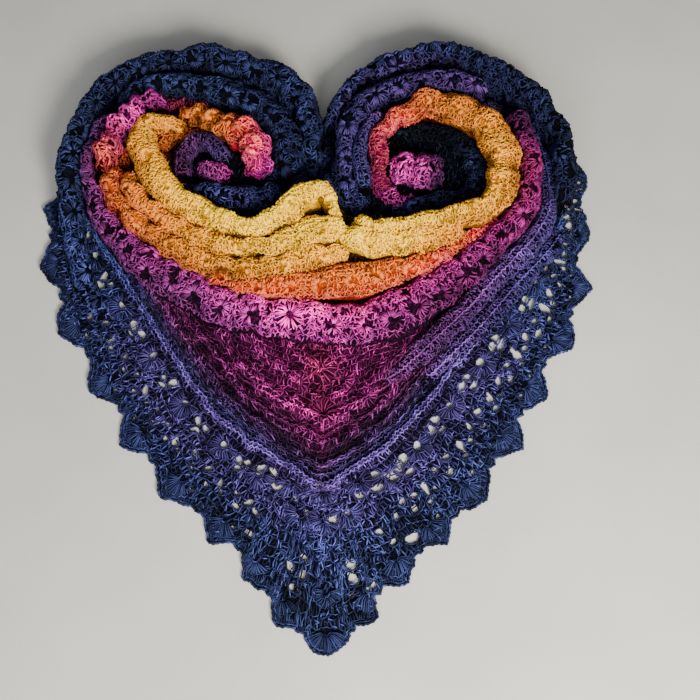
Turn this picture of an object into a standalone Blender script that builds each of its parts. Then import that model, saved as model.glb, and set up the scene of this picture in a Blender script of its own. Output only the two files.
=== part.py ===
# A crocheted triangular shawl, laid on a flat surface in the shape of a heart.
# The corner of the triangle points to -Y. Both wings are gathered, brought up the sides and wound into
# a coil each, which are the two lobes at +Y. Folds of the middle hang between the coils as a swag.
# The origin is on the surface under the centre of the heart. Tables are in millimetres.

import math

import bmesh
import bpy
from mathutils import Vector

MM = 0.001
CENTRE = (-1.5, 0.56)        # middle of the heart's box, in the tables' own X and Y
CLOTH = 2.4                  # thickness of the crocheted cloth
PANEL = 3.0                  # the flat lace: its stitches stand a little thicker
INNER = 3.0                  # the inner face of a fold's wall is about this far inside its outer face
RIB = 1.8                    # how far a raised row of stitches stands out of the lace
SEAM = 1.15                  # clear gap between a fold and what it lies on
PANEL_GAP = 1.6              # gap between the flat lace and the hidden layers, under the lowest fold
STEP = 14.0                  # length of one facet along a plain fold
RUFFLE_STEP = 7.0            # and along a ruffle, a fold whose waves are short
SHORT_WAVE = 25.0
ACROSS = 5                   # facets across a fold
FLANK = 0.8                  # below 1, a fold has steeper sides than an ellipse
CROWN = 0.6                  # and a flatter top
LEAST_RISE = 4.0             # a fold stands at least this high
END_LENGTH = 12.0            # a fold comes down towards each end over this length
END_START = 2.0              # as if it had started this far before the end
FINE = 12                    # points on the smooth curve between two rows of a table
WAVE_LAG = 1.9               # how far the rise of a ruffle runs ahead of its sideways swing, in radians
SCALLOP_CELLS = 7            # columns of the lace chart in one scallop
SCALLOP_ROUND = 0.8          # below 1, a scallop is fuller than a sine
SMALL_SCALLOP = 2.5          # depth of the small scallop in each valley
SMALL_SHARE = 0.13           # and its half width, as a share of a whole scallop
TIP_HALF = 1.0               # the scallop at the corner reaches this many columns to each side
EDGE_SPREAD = 0.3            # the edge's direction is taken over this many columns to each side

HIDDEN_EDGE = 3.2            # height of the hidden layers at their edge
HIDDEN_TOP = 21.0            # and in their middle
HIDDEN_RAMP = 55.0           # how far in they reach that height
HIDDEN_COLUMNS = 38
HIDDEN_ROWS = 18
HIDDEN_NEAR_POINTS = 40
COIL_EYES = ((-92.0, 150.0), (96.0, 150.0))    # hollow middle of each coil
EYE_DEPTH = 9.0
EYE_RADIUS = 34.0
LACE_APPROACH = (12.0, 8.0)      # a fold starts to rise onto the lace this far before it, over this length
HIDDEN_APPROACH = (6.0, 3.0)     # and the same for the hidden layers

# The flat lace. A row for each valley between two scallops of its outer edge, and one for the spine.
# column, seam x, seam y (under the lowest fold), rib x, rib y (raised row), valley x, valley y, scallop depth
LACE_ROWS = (
    (-10, -228, 138, -230, 137, -240, 140, 9.0),
    (-9, -207, 116, -206, 101, -243, 98, 9.0),
    (-8, -182, 90, -178, 58, -231, 40, 13.0),
    (-7, -160, 68, -149, 13, -206, -14, 12.5),
    (-6, -134, 47, -121, -31, -173, -64, 13.5),
    (-5, -106, 28, -91, -70, -145, -108, 12.5),
    (-4, -78, 17, -56, -99, -106, -152, 11.5),
    (-3, -48, 10, -31, -117, -71, -183, 11.5),
    (-2, -24, 7, -15, -126, -45, -221, 11.0),
    (-1, -10, 4, -6, -131, -22, -249, 9.5),
    (0, 0, 3, 0, -133, 1, -249, 20.0),
    (1, 10, 4, 6, -131, 24, -249, 9.5),
    (2, 24, 4, 15, -126, 44, -221, 11.0),
    (3, 48, 5, 31, -117, 79, -188, 11.5),
    (4, 74, 11, 53, -103, 111, -160, 11.5),
    (5, 98, 19, 82, -74, 144, -118, 12.5),
    (6, 122, 34, 111, -38, 172, -76, 13.5),
    (7, 146, 55, 140, -5, 195, -31, 13.0),
    (8, 176, 79, 168, 27, 223, 15, 13.0),
    (9, 203, 101, 196, 64, 231, 65, 13.0),
    (10, 221, 121, 225, 108, 240, 120, 8.0),
    (11, 233, 160, 236, 162, 240, 166, 8.0),
)

# One repeat of the border, a scallop wide, from the outer edge (first line) to the raised row (last line).
# A dot is a gap between stitches, cut through. Dots at both ends of a line join over the valley.
BORDER_CHART = (
    "#######",
    "#######",
    "#.###.#",
    "#######",
    ".##.##.",
    "#######",
    "##.#.##",
    "#######",
    ".#####.",
    "###.###",
    "#######",
    "#######",
)
# The body of the shawl, from the raised row to the seam, and where its lines end: 0.5 is the raised row
BODY_CHART = (
    "#######",
    "###.###",
    "#######",
    "#######",
)
BODY_SHARES = (0.5, 0.46, 0.41, 0.22, 0.0)
LEAST_GAP = 4.0              # a gap that would be smaller than this, both ways, stays closed

# Far edge of the hidden layers, from the left coil to the right: x, y
HIDDEN_FAR = (
    (-226, 152), (-220, 176), (-209, 202), (-192, 226), (-165, 242), (-135, 251), (-100, 255),
    (-70, 249), (-45, 240), (-25, 220), (-10, 190), (4, 164), (15, 191), (30, 214), (52, 233),
    (80, 246), (112, 252), (140, 246), (168, 233), (192, 211), (210, 186), (217, 164), (220, 148),
)

# Every fold is an arch of cloth. A row for each section along its crest:
# x, y, half of the width, height of the crest
FOLDS = {
    "magenta_fold": (
        (-185, 206, 4.5, 36), (-197, 195, 4.5, 38), (-203, 178, 4.5, 38), (-208, 158, 4.5, 37),
        (-205, 139, 5, 36), (-200, 121, 6.5, 34), (-193, 105, 8, 31), (-180, 89, 9, 28),
        (-147, 57, 13, 25), (-120, 42, 14.5, 23), (-90, 25, 16, 22), (-59, 16, 16.5, 21),
        (-29, 11, 16, 21), (0, 7, 16, 21), (30, 5, 16.5, 21), (60, 11, 18, 21),
        (89, 25, 18, 21), (113, 40, 16, 22), (137, 59, 12, 24), (158, 79, 10.5, 27),
        (182, 104, 10, 32), (191, 125, 8.5, 35), (192, 150, 8, 37), (190, 172, 8, 38),
        (186, 190, 8, 38), (178, 203, 6, 36),
    ),
    "navy_rim_left": (
        (-193, 22, 3.5, 8), (-206, 40, 5, 11), (-213, 62, 6, 14), (-218, 84, 7, 19),
        (-222, 104, 7.5, 25), (-223, 122, 8, 32), (-223, 144, 8.5, 38), (-223, 166, 8.5, 40),
        (-216, 188, 8.5, 40), (-204, 214, 9.5, 40), (-185, 237, 10, 41), (-152, 252, 9.5, 42),
        (-124, 256, 11, 42), (-96, 257.5, 12.5, 42), (-66, 250, 13, 42), (-38, 240, 13, 42),
        (-17, 221, 12, 41), (-9, 198, 10, 39), (-7, 175, 7.5, 36), (-6, 156, 6.5, 31),
    ),
    "navy_band_left": (
        (-183, 216, 4, 36), (-168, 227, 5.5, 40), (-152, 234, 6.5, 41), (-130, 234, 8, 42),
        (-104, 229, 11, 43), (-78, 221, 12.5, 43), (-56, 212, 12.5, 42), (-37, 197, 12.5, 42),
        (-28, 178, 12, 42), (-27, 158, 11.5, 40), (-23, 141, 9, 35),
    ),
    "pink_ruffle": (
        (-138, 221, 4, 42), (-148, 218, 6.5, 45), (-159, 210, 8, 46), (-170, 199, 8.5, 47),
        (-180, 186, 8.5, 47), (-186, 172, 8, 46), (-191, 159, 7, 45), (-194.5, 149, 4.5, 42),
    ),
    "orange_outer_fold": (
        (-180, 152, 4, 41), (-185, 137, 7.5, 44), (-183, 124, 8, 44), (-173, 109, 7.5, 42),
        (-158, 95.5, 6.5, 41), (-141, 83, 7, 39), (-122, 71, 7.5, 37), (-102, 61, 7.5, 35),
        (-80, 56, 7, 34), (-50, 54, 6.5, 34), (-20, 58, 7.5, 34), (0, 63, 8, 35),
        (16, 65, 6, 35), (26, 64, 3, 33),
    ),
    "orange_inner_fold": (
        (-168, 146, 4, 46), (-168, 133, 6, 47), (-161, 119.5, 6.5, 47), (-148.5, 107, 6, 46),
        (-128, 93, 7, 44), (-104, 79, 7, 42), (-80, 72.5, 6.5, 41), (-50, 71, 7, 41),
        (-20, 78, 8.5, 42), (0, 86, 11, 43), (21, 82, 9, 43), (39, 74, 10, 42), (56, 72, 9.5, 41),
        (74, 73, 9.5, 41), (94, 76, 9.5, 41), (112, 81, 6.5, 40), (130, 88, 3.5, 39),
    ),
    "orange_swag": (
        (-74, 43, 3, 26), (-56, 40, 5, 28), (-34, 39, 7, 29), (-10, 40, 10, 30),
        (14, 41, 13, 31), (38, 43, 13.5, 31), (60, 48, 11, 32), (82, 54, 7, 32),
        (102, 60.5, 4.5, 32), (117, 68, 3, 32),
    ),
    "yellow_collar": (
        (-119, 190, 3.5, 44), (-138, 192, 4.5, 47), (-155, 187, 6.5, 48), (-158, 170, 12, 50),
        (-151, 152, 12, 50), (-143, 135, 11.5, 50), (-128, 117, 11, 50), (-106, 104, 10.5, 49),
        (-86, 94, 8.5, 48), (-69, 88, 6, 48), (-52, 88, 6, 48), (-36, 96, 7.5, 49),
        (-19, 106, 9, 51), (0, 112, 10, 53), (15, 107, 8, 51), (29, 99, 4.5, 48),
    ),
    "ribbon_right": (
        (37, 93, 4.2, 46), (52, 89, 4.2, 45), (71, 90, 4.5, 46), (90, 93, 5, 46), (112, 96, 5.5, 47),
        (135, 100, 7, 48), (153, 107, 9, 49), (164, 122, 11.5, 50), (167, 141, 13, 50),
        (165, 162, 13.5, 50), (154, 183, 15, 49), (136, 198, 13, 48), (115, 206, 10.5, 47),
        (98, 209, 9.5, 46), (84, 200, 6.5, 45), (70, 192, 5.5, 44), (58, 182, 6, 43),
        (54, 168, 6.5, 41), (53, 151, 5.5, 37), (53, 137, 6, 31), (61, 124, 7, 27),
    ),
    "coral_ruffle": (
        (-127, 204, 4, 38), (-107, 200, 7, 42), (-90, 194, 8.5, 44), (-74, 185, 11.5, 45),
        (-61, 177, 12, 45), (-54, 164, 10.5, 44), (-54, 150, 8, 40), (-57, 141, 5, 34),
    ),
    "purple_curl": (
        (-122, 144, 4.5, 30), (-122, 160, 5.5, 34), (-114, 173, 5.5, 36), (-102, 177, 5.5, 36),
        (-91, 170, 5.5, 34), (-82, 158, 5, 31),
    ),
    "magenta_tongue": ((-110, 155, 4, 30), (-100, 152, 5.5, 32), (-88, 147, 6, 31), (-79, 144, 4, 28)),
    "navy_bunch": (
        (-118, 128, 4, 24), (-103, 129, 6, 29), (-86, 123, 10, 31), (-66, 118, 12, 32),
        (-46, 121, 10, 32), (-32, 127, 6, 29),
    ),
    "navy_rim_right": (
        (12, 188, 4, 34), (16, 205, 5, 37), (28, 222, 6, 39), (45, 238, 7, 40), (72, 251, 8, 42),
        (90, 256, 9, 42), (114, 261, 9.5, 42), (132, 256, 9.5, 42), (153, 249, 9.5, 42),
        (177, 234, 9.5, 42), (199, 213, 9.5, 42), (212, 194, 9, 41), (222, 167, 9, 40),
        (223, 146, 8, 37), (222, 124, 8, 31), (222, 113, 6, 26),
    ),
    "violet_roll": (
        (158, 222, 6, 39), (140, 228, 8, 41), (118, 232, 10, 42), (100, 233, 10.5, 42),
        (84, 228, 10.5, 42), (62, 220, 11, 42), (42, 207, 10.5, 42), (29, 190, 9, 42),
        (25, 172, 6.4, 41), (23, 153, 6.8, 39), (22.4, 134, 7.4, 36), (27.5, 119, 7.5, 33), (42, 108, 6, 30),
    ),
    "violet_inner_roll": (
        (62, 201, 2.5, 37), (52, 193, 3.2, 39), (42, 179, 4.5, 40), (37, 158, 5.5, 40),
        (39, 142, 5.5, 38), (42, 128, 4.5, 33),
    ),
    "navy_ring": (
        (70, 176, 4.5, 24), (84, 184.5, 5.5, 25), (102, 186.5, 6, 25), (120, 180, 6, 26), (134, 167, 7.5, 27),
        (142, 150, 8.5, 28), (142, 130, 8.5, 28), (131, 116, 8, 28), (111, 113, 8, 28), (92, 113, 8, 28),
        (77, 107, 6.5, 27), (63, 106, 6, 25),
    ),
    "magenta_core": (
        (64, 150, 6.5, 31), (74, 148, 12, 35), (87, 145, 14.5, 37), (101, 145, 14.5, 35), (114, 144, 10, 30),
    ),
    "violet_pleat_upper": (
        (54, -44, 3, 8), (72, -33, 5, 11), (93, -15, 6, 13), (113, 3, 6.5, 15), (133, 21, 6.5, 17),
        (152, 41, 6.5, 19), (172, 61, 6.5, 21), (192, 82, 6.5, 24), (205, 104, 5, 28),
        (207, 130, 4, 31), (206, 154, 4, 34), (204, 174, 3.5, 33),
    ),
    "violet_pleat_lower": (
        (93, -42, 3, 7), (115, -22, 5, 10), (137, -1, 5.5, 12), (156, 19, 5.5, 14), (172, 37, 5.5, 15),
        (189, 54, 5.5, 16), (206, 72, 5.5, 17), (220, 91, 5, 18),
    ),
}

# Ruffles swell and shrink along their length: length of one wave, how far the crest moves sideways,
# how far it rises and falls
RUFFLES = {
    "pink_ruffle": (19.0, 1.5, 2.0),
    "coral_ruffle": (21.0, 1.5, 2.0),
    "orange_outer_fold": (26.0, 0.8, 1.2),
    "orange_inner_fold": (28.0, 0.8, 1.4),
    "yellow_collar": (34.0, 0.9, 1.6),
    "ribbon_right": (31.0, 0.9, 1.6),
    "purple_curl": (17.0, 0.5, 1.2),
    "navy_bunch": (20.0, 1.0, 2.2),
    "magenta_core": (15.0, 1.0, 3.0),
    "navy_rim_right": (38.0, 0.8, 0.8),
}

COLOURS = {
    "lace_panel": (0.020, 0.035, 0.130),
    "hidden_layers": (0.020, 0.022, 0.050),
    "magenta_fold": (0.420, 0.040, 0.250),
    "navy_rim_left": (0.018, 0.035, 0.120),
    "navy_band_left": (0.022, 0.045, 0.150),
    "pink_ruffle": (0.620, 0.070, 0.270),
    "orange_outer_fold": (0.640, 0.190, 0.050),
    "orange_inner_fold": (0.700, 0.270, 0.070),
    "orange_swag": (0.560, 0.150, 0.040),
    "yellow_collar": (0.800, 0.580, 0.200),
    "ribbon_right": (0.760, 0.410, 0.110),
    "coral_ruffle": (0.620, 0.160, 0.070),
    "purple_curl": (0.080, 0.030, 0.100),
    "magenta_tongue": (0.260, 0.030, 0.140),
    "navy_bunch": (0.035, 0.035, 0.130),
    "navy_rim_right": (0.012, 0.018, 0.060),
    "violet_roll": (0.060, 0.045, 0.230),
    "violet_inner_roll": (0.050, 0.035, 0.180),
    "navy_ring": (0.014, 0.020, 0.075),
    "magenta_core": (0.500, 0.050, 0.300),
    "violet_pleat_upper": (0.100, 0.050, 0.240),
    "violet_pleat_lower": (0.065, 0.055, 0.230),
}


def smooth(value):
    """0 below 0, 1 above 1, and an even S between."""
    value = min(max(value, 0.0), 1.0)
    return value * value * (3 - 2 * value)


def between(rows, place):
    """The row at this place, which may lie between two rows, on a smooth curve through them all."""
    first = min(max(int(math.floor(place)), 0), len(rows) - 2)
    t = place - first
    a = rows[max(first - 1, 0)]
    b = rows[first]
    c = rows[first + 1]
    d = rows[min(first + 2, len(rows) - 1)]
    return tuple(
        q + 0.5 * t * (r - p + t * (2 * p - 5 * q + 4 * r - s + t * (3 * (q - r) + s - p)))
        for p, q, r, s in zip(a, b, c, d)
    )


def along(rows, step):
    """Rows at equal steps of length along the curve through the given rows."""
    fine = [between(rows, n / FINE) for n in range(FINE * (len(rows) - 1) + 1)]
    lengths = [0.0]
    for a, b in zip(fine, fine[1:]):
        lengths.append(lengths[-1] + math.hypot(b[0] - a[0], b[1] - a[1]))
    count = max(3, round(lengths[-1] / step))
    found = []
    n = 0
    for k in range(count + 1):
        wanted = lengths[-1] * k / count
        while n < len(lengths) - 2 and lengths[n + 1] < wanted:
            n += 1
        share = (wanted - lengths[n]) / (lengths[n + 1] - lengths[n])
        found.append(tuple(p + (q - p) * share for p, q in zip(fine[n], fine[n + 1])))
    return found, lengths[-1]


def at_x(points, x):
    """The y of a line of points at this x."""
    for a, b in zip(points, points[1:]):
        if a[0] <= x <= b[0]:
            return a[1] + (b[1] - a[1]) * (x - a[0]) / (b[0] - a[0])
    return points[0][1] if x < points[0][0] else points[-1][1]


def inside(outline, x, y):
    """True if the point is inside the closed outline."""
    odd = False
    for a, b in zip(outline, outline[1:] + outline[:1]):
        if (a[1] > y) != (b[1] > y) and x < a[0] + (b[0] - a[0]) * (y - a[1]) / (b[1] - a[1]):
            odd = not odd
    return odd


def depth_in(outline, x, y):
    """How far the point is inside the outline, and below 0 outside it."""
    nearest = 1e9
    for a, b in zip(outline, outline[1:] + outline[:1]):
        dx = b[0] - a[0]
        dy = b[1] - a[1]
        share = ((x - a[0]) * dx + (y - a[1]) * dy) / (dx * dx + dy * dy)
        share = min(max(share, 0.0), 1.0)
        nearest = min(nearest, math.hypot(x - a[0] - dx * share, y - a[1] - dy * share))
    return nearest if inside(outline, x, y) else -nearest


def lace_row(column):
    """Seam, raised row, valley line and scallop depth at this column of the lace."""
    row = between(LACE_ROWS, column - LACE_ROWS[0][0])
    return Vector(row[1:3]), Vector(row[3:5]), Vector(row[5:7]), row[7]


def scallop(column):
    """How far the outer edge stands beyond the valley line: a scallop, and a small one in each valley."""
    if abs(column) < TIP_HALF:
        share = (column / TIP_HALF + 1) / 2
        depth = LACE_ROWS[-LACE_ROWS[0][0]][7]
    else:
        share = column - math.floor(column)
        depth = lace_row(column)[3]
    small = max(0.0, 1 - min(share, 1 - share) / SMALL_SHARE)
    return depth * math.sin(math.pi * share) ** SCALLOP_ROUND + SMALL_SCALLOP * small


def lace_point(column, share):
    """A point of the lace in plan. The share is 0 at the seam, 0.5 on the raised row and 1 at the edge."""
    seam, rib, valley, _ = lace_row(column)
    if share <= 0.5:
        return seam.lerp(rib, share * 2)
    before = lace_row(max(column - EDGE_SPREAD, LACE_ROWS[0][0]))[2]
    after = lace_row(min(column + EDGE_SPREAD, LACE_ROWS[-1][0]))[2]
    edge_way = (after - before).normalized()
    outward = Vector((edge_way.y, -edge_way.x))
    across = share * 2 - 1
    return rib.lerp(valley, across) + outward * scallop(column) * across ** 3


FIRST_CELL = SCALLOP_CELLS * LACE_ROWS[0][0]
LAST_CELL = SCALLOP_CELLS * LACE_ROWS[-1][0]
CELLS = range(FIRST_CELL, LAST_CELL + 1)
SEAM_LINE = [tuple(lace_row(n / SCALLOP_CELLS)[0]) for n in CELLS]
LACE_EDGE = [tuple(lace_point(n / SCALLOP_CELLS, 1.0)) for n in CELLS]
LACE_OUTLINE = LACE_EDGE + SEAM_LINE[::-1]


def near_edge(x):
    """Near edge of the hidden layers: beside the seam of the lace."""
    return at_x(SEAM_LINE, x) + PANEL_GAP


HIDDEN_LEFT = HIDDEN_FAR[0][0]
HIDDEN_RIGHT = HIDDEN_FAR[-1][0]
HIDDEN_SPACING = (HIDDEN_RIGHT - HIDDEN_LEFT) / HIDDEN_NEAR_POINTS
HIDDEN_NEAR_X = [HIDDEN_LEFT + HIDDEN_SPACING * n for n in range(HIDDEN_NEAR_POINTS + 1)]
HIDDEN_OUTLINE = [(x, near_edge(x)) for x in HIDDEN_NEAR_X] + list(reversed(HIDDEN_FAR))


def hidden_height(x, y, depth):
    """Height of the hidden layers at this depth inside their outline."""
    eyes = sum(
        EYE_DEPTH * math.exp(-((x - eye[0]) ** 2 + (y - eye[1]) ** 2) / EYE_RADIUS ** 2)
        for eye in COIL_EYES
    )
    return HIDDEN_EDGE + (HIDDEN_TOP - eyes - HIDDEN_EDGE) * smooth(depth / HIDDEN_RAMP)


def ground(x, y):
    """What the foot of a fold stands on here: the hidden layers, the flat lace, or the surface below."""
    hidden = depth_in(HIDDEN_OUTLINE, x, y)
    if hidden > 0:
        return hidden_height(x, y, hidden)
    lace = depth_in(LACE_OUTLINE, x, y)
    over_lace = (PANEL + RIB) * smooth((lace + LACE_APPROACH[0]) / LACE_APPROACH[1])
    over_hidden = HIDDEN_EDGE * smooth((hidden + HIDDEN_APPROACH[0]) / HIDDEN_APPROACH[1])
    return max(over_lace, over_hidden)


def put(x, y, z):
    """A point of the tables as a point of the model."""
    return Vector(((x - CENTRE[0]) * MM, (y - CENTRE[1]) * MM, z * MM))


def material(name):
    made = bpy.data.materials.new(name)
    made.use_nodes = True
    shader = made.node_tree.nodes["Principled BSDF"]
    shader.inputs["Base Color"].default_value = (*COLOURS[name], 1.0)
    shader.inputs["Roughness"].default_value = 0.9
    shader.inputs["Metallic"].default_value = 0.0
    return made


def add_object(name, bm, collection):
    mesh = bpy.data.meshes.new(name)
    bm.to_mesh(mesh)
    bm.free()
    mesh.materials.append(material(name))
    mesh.shade_smooth()
    piece = bpy.data.objects.new(name, mesh)
    collection.objects.link(piece)
    return piece


def grid(columns, rows):
    """A flat grid, and the column and row of each of its vertices."""
    bm = bmesh.new()
    bmesh.ops.create_grid(bm, x_segments=columns, y_segments=rows, size=1.0)
    places = {
        v: (round((v.co.x + 1) / 2 * columns), round((v.co.y + 1) / 2 * rows)) for v in bm.verts
    }
    return bm, places


def lift(bm, heights):
    """Extrudes the grid, whose vertices lie on the surface, up to the height that each of them is given."""
    feet = {tuple(round(c, 7) for c in v.co.xy): heights[v] for v in bm.verts}
    raised = bmesh.ops.extrude_face_region(bm, geom=bm.faces[:])
    for item in raised["geom"]:
        if isinstance(item, bmesh.types.BMVert):
            item.co.z = feet[tuple(round(c, 7) for c in item.co.xy)] * MM
    bmesh.ops.recalc_face_normals(bm, faces=bm.faces[:])


def make_lace(collection):
    """The flat lace: the charted gaps left out, raised rows of stitches on top, flat underneath."""
    border = len(BORDER_CHART)
    shares = [1 - 0.5 * j / border for j in range(border)] + list(BODY_SHARES)
    chart = BORDER_CHART + BODY_CHART
    bm, places = grid(len(CELLS) - 1, len(chart))
    points = {v: lace_point((FIRST_CELL + i) / SCALLOP_CELLS, shares[j]) for v, (i, j) in places.items()}
    gaps = []
    for face in bm.faces:
        i = min(places[v][0] for v in face.verts)
        j = min(places[v][1] for v in face.verts)
        sides = [(points[edge.verts[0]] - points[edge.verts[1]]).length for edge in face.edges]
        if chart[j][i % SCALLOP_CELLS] == "." and min(sides) > LEAST_GAP:
            gaps.append(face)
    bmesh.ops.delete(bm, geom=gaps, context="FACES")
    heights = {}
    for v, (_, j) in places.items():
        if v.is_valid:
            v.co = put(points[v].x, points[v].y, 0)
            heights[v] = PANEL + (RIB if j in (border, border + 1) else 0)
    lift(bm, heights)
    return add_object("lace_panel", bm, collection)


def make_hidden(collection):
    """The layers that don't show, as one rounded solid that the folds lie on."""
    bm, places = grid(HIDDEN_COLUMNS, HIDDEN_ROWS)
    heights = {}
    for v, (i, j) in places.items():
        x = HIDDEN_LEFT + (HIDDEN_RIGHT - HIDDEN_LEFT) * i / HIDDEN_COLUMNS
        near = near_edge(x)
        y = near + (at_x(HIDDEN_FAR, x) - near) * j / HIDDEN_ROWS
        v.co = put(x, y, 0)
        heights[v] = hidden_height(x, y, max(0.0, depth_in(HIDDEN_OUTLINE, x, y)))
    lift(bm, heights)
    return add_object("hidden_layers", bm, collection)


def make_fold(name, collection):
    """One stretch of cloth as an arch that follows its crest, with both feet on what is under it."""
    wave = RUFFLES.get(name)
    rows, length = along(FOLDS[name], RUFFLE_STEP if wave and wave[0] < SHORT_WAVE else STEP)
    bm, places = grid(len(rows) - 1, ACROSS)
    for v, (i, j) in places.items():
        x, y, half, crest = rows[i]
        before = rows[max(i - 1, 0)]
        after = rows[min(i + 1, len(rows) - 1)]
        way = Vector((after[0] - before[0], after[1] - before[1])).normalized()
        left = Vector((-way.y, way.x))
        place = length * i / (len(rows) - 1)
        if wave:
            turn = math.tau * place / wave[0]
            x += left.x * wave[1] * math.sin(turn)
            y += left.y * wave[1] * math.sin(turn)
            crest += wave[2] * math.sin(turn + WAVE_LAG)
        end = min(1.0, (min(place, length - place) + END_START) / END_LENGTH)
        feet = []
        for side in (-1, 1):
            outer = side * half
            inner = side * (half - INNER)
            under = [ground(x + left.x * reach, y + left.y * reach) for reach in (outer, inner)]
            feet.append(max(under) + SEAM)
        turn = math.pi * j / ACROSS
        across = -half * math.copysign(abs(math.cos(turn)) ** FLANK, math.cos(turn))
        foot = feet[0] + (feet[1] - feet[0]) * (1 + across / half) / 2
        rise = max(crest - foot, LEAST_RISE) * math.sqrt(end)
        v.co = put(
            x + left.x * across, y + left.y * across, foot + rise * max(math.sin(turn), 0.0) ** CROWN
        )
    piece = add_object(name, bm, collection)
    wall = piece.modifiers.new("cloth", "SOLIDIFY")
    wall.thickness = CLOTH * MM
    wall.offset = -1.0
    return piece


def main():
    for old in list(bpy.data.objects):
        bpy.data.objects.remove(old)
    collection = bpy.data.collections.new("crochet_shawl")
    bpy.context.scene.collection.children.link(collection)
    make_lace(collection)
    make_hidden(collection)
    for name in FOLDS:
        make_fold(name, collection)


main()
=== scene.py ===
import math

import bpy
import numpy as np
from mathutils import Matrix, Vector
from mathutils.bvhtree import BVHTree


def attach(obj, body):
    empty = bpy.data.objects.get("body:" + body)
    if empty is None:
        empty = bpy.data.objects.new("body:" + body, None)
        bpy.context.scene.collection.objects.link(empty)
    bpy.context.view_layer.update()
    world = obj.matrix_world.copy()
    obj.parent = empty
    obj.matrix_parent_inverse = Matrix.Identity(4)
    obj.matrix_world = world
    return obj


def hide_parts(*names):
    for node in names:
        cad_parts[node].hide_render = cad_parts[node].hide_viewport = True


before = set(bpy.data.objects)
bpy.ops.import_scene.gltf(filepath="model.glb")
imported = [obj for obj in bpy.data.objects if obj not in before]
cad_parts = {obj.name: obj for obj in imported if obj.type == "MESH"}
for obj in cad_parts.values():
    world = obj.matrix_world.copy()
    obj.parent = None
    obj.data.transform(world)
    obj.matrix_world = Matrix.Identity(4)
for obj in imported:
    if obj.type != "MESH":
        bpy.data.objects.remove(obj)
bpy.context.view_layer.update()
print("frame loaded:", len(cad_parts), "solids")

mm = 0.001
centre = np.array([-1.5, 0.56])     # the tables below are drawn round this point
rng = np.random.default_rng(21)     # every small irregularity comes from here

# The yarn cake: place on the gradient and sRGB colour, from the yellow start to the navy end
yarnCake = [
    (0.00, "ffdd2c"), (0.08, "fac42e"), (0.17, "f0a334"), (0.26, "e68536"), (0.34, "e06c3c"),
    (0.41, "e0575a"), (0.48, "d6427a"), (0.54, "e040b0"), (0.60, "a63a90"), (0.66, "6e3470"),
    (0.73, "5c3c7a"), (0.80, "4b407c"), (0.87, "383e72"), (0.94, "2f3760"), (1.00, "202844"),
]


# Materials

def linear(hexColour):
    parts = [int(hexColour[i:i + 2], 16) / 255 for i in (0, 2, 4)]
    return [p / 12.92 if p <= 0.04045 else ((p + 0.055) / 1.055) ** 2.4 for p in parts] + [1.0]


def addNode(tree, kind, settings=None, inputs=None):
    node = tree.nodes.new(kind)
    for name, value in (settings or {}).items():
        setattr(node, name, value)
    for name, value in (inputs or {}).items():
        if isinstance(value, bpy.types.NodeSocket):
            tree.links.new(value, node.inputs[name])
        else:
            node.inputs[name].default_value = value
    return node


def combine(tree, operation, *values):
    return addNode(tree, "ShaderNodeMath", {"operation": operation}, dict(enumerate(values))).outputs[0]


def attribute(tree, name):
    return addNode(tree, "ShaderNodeAttribute", {"attribute_name": name}).outputs["Fac"]


def objectPlace(tree):
    return addNode(tree, "ShaderNodeTexCoord").outputs["Object"]


def noise(tree, size, detail):
    # soft noise with bumps of this size
    return addNode(tree, "ShaderNodeTexNoise", inputs={
        "Vector": objectPlace(tree), "Scale": 1 / (size * mm), "Detail": detail}).outputs["Fac"]


def rescale(tree, value, low, high, newLow, newHigh):
    return addNode(tree, "ShaderNodeMapRange", inputs={
        "Value": value, "From Min": low, "From Max": high, "To Min": newLow, "To Max": newHigh}).outputs[0]


def cakeColour(tree, shade):
    ramp = addNode(tree, "ShaderNodeValToRGB", inputs={"Fac": shade})
    stops = ramp.color_ramp.elements
    while len(stops) < len(yarnCake):
        stops.new(0.5)
    for stop, (position, colour) in zip(stops, yarnCake):
        stop.position = position
        stop.color = linear(colour)
    return ramp.outputs["Color"]


def finished(name, makeInputs):
    # a material whose shader has the inputs that this function gives for its tree
    material = bpy.data.materials.new(name)
    material.use_nodes = True
    tree = material.node_tree
    tree.nodes.clear()
    shader = addNode(tree, "ShaderNodeBsdfPrincipled", inputs=makeInputs(tree))
    addNode(tree, "ShaderNodeOutputMaterial", inputs={"Surface": shader.outputs["BSDF"]})
    return material


def dyedYarn(tree):
    # Plied cotton and acrylic yarn, dyed in one long gradient: matt, with a little fuzz. "shade" is the
    # place on the yarn cake and "tone" how light that bit of yarn is drawn: it holds the painted light and
    # shade of the folds and the lace, as well as how the strands differ one from another.
    drift = combine(tree, "MULTIPLY_ADD", noise(tree, 28, 3.0), 0.07, -0.035)     # the dye takes unevenly
    colour = cakeColour(tree, combine(tree, "ADD", attribute(tree, "shade"), drift))
    plies = noise(tree, 0.9, 2.0)     # coarser than the real 0.4 mm, so that they show
    value = combine(tree, "MULTIPLY", attribute(tree, "tone"), rescale(tree, plies, 0.3, 0.7, 0.7, 1.26))
    tint = addNode(tree, "ShaderNodeHueSaturation", inputs={"Color": colour, "Value": value})
    fuzz = addNode(tree, "ShaderNodeBump", inputs={"Height": plies, "Distance": 0.5 * mm, "Strength": 0.6})
    return {"Base Color": tint.outputs["Color"], "Roughness": 0.8, "Specular IOR Level": 0.12,
            "Normal": fuzz.outputs["Normal"]}


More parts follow.
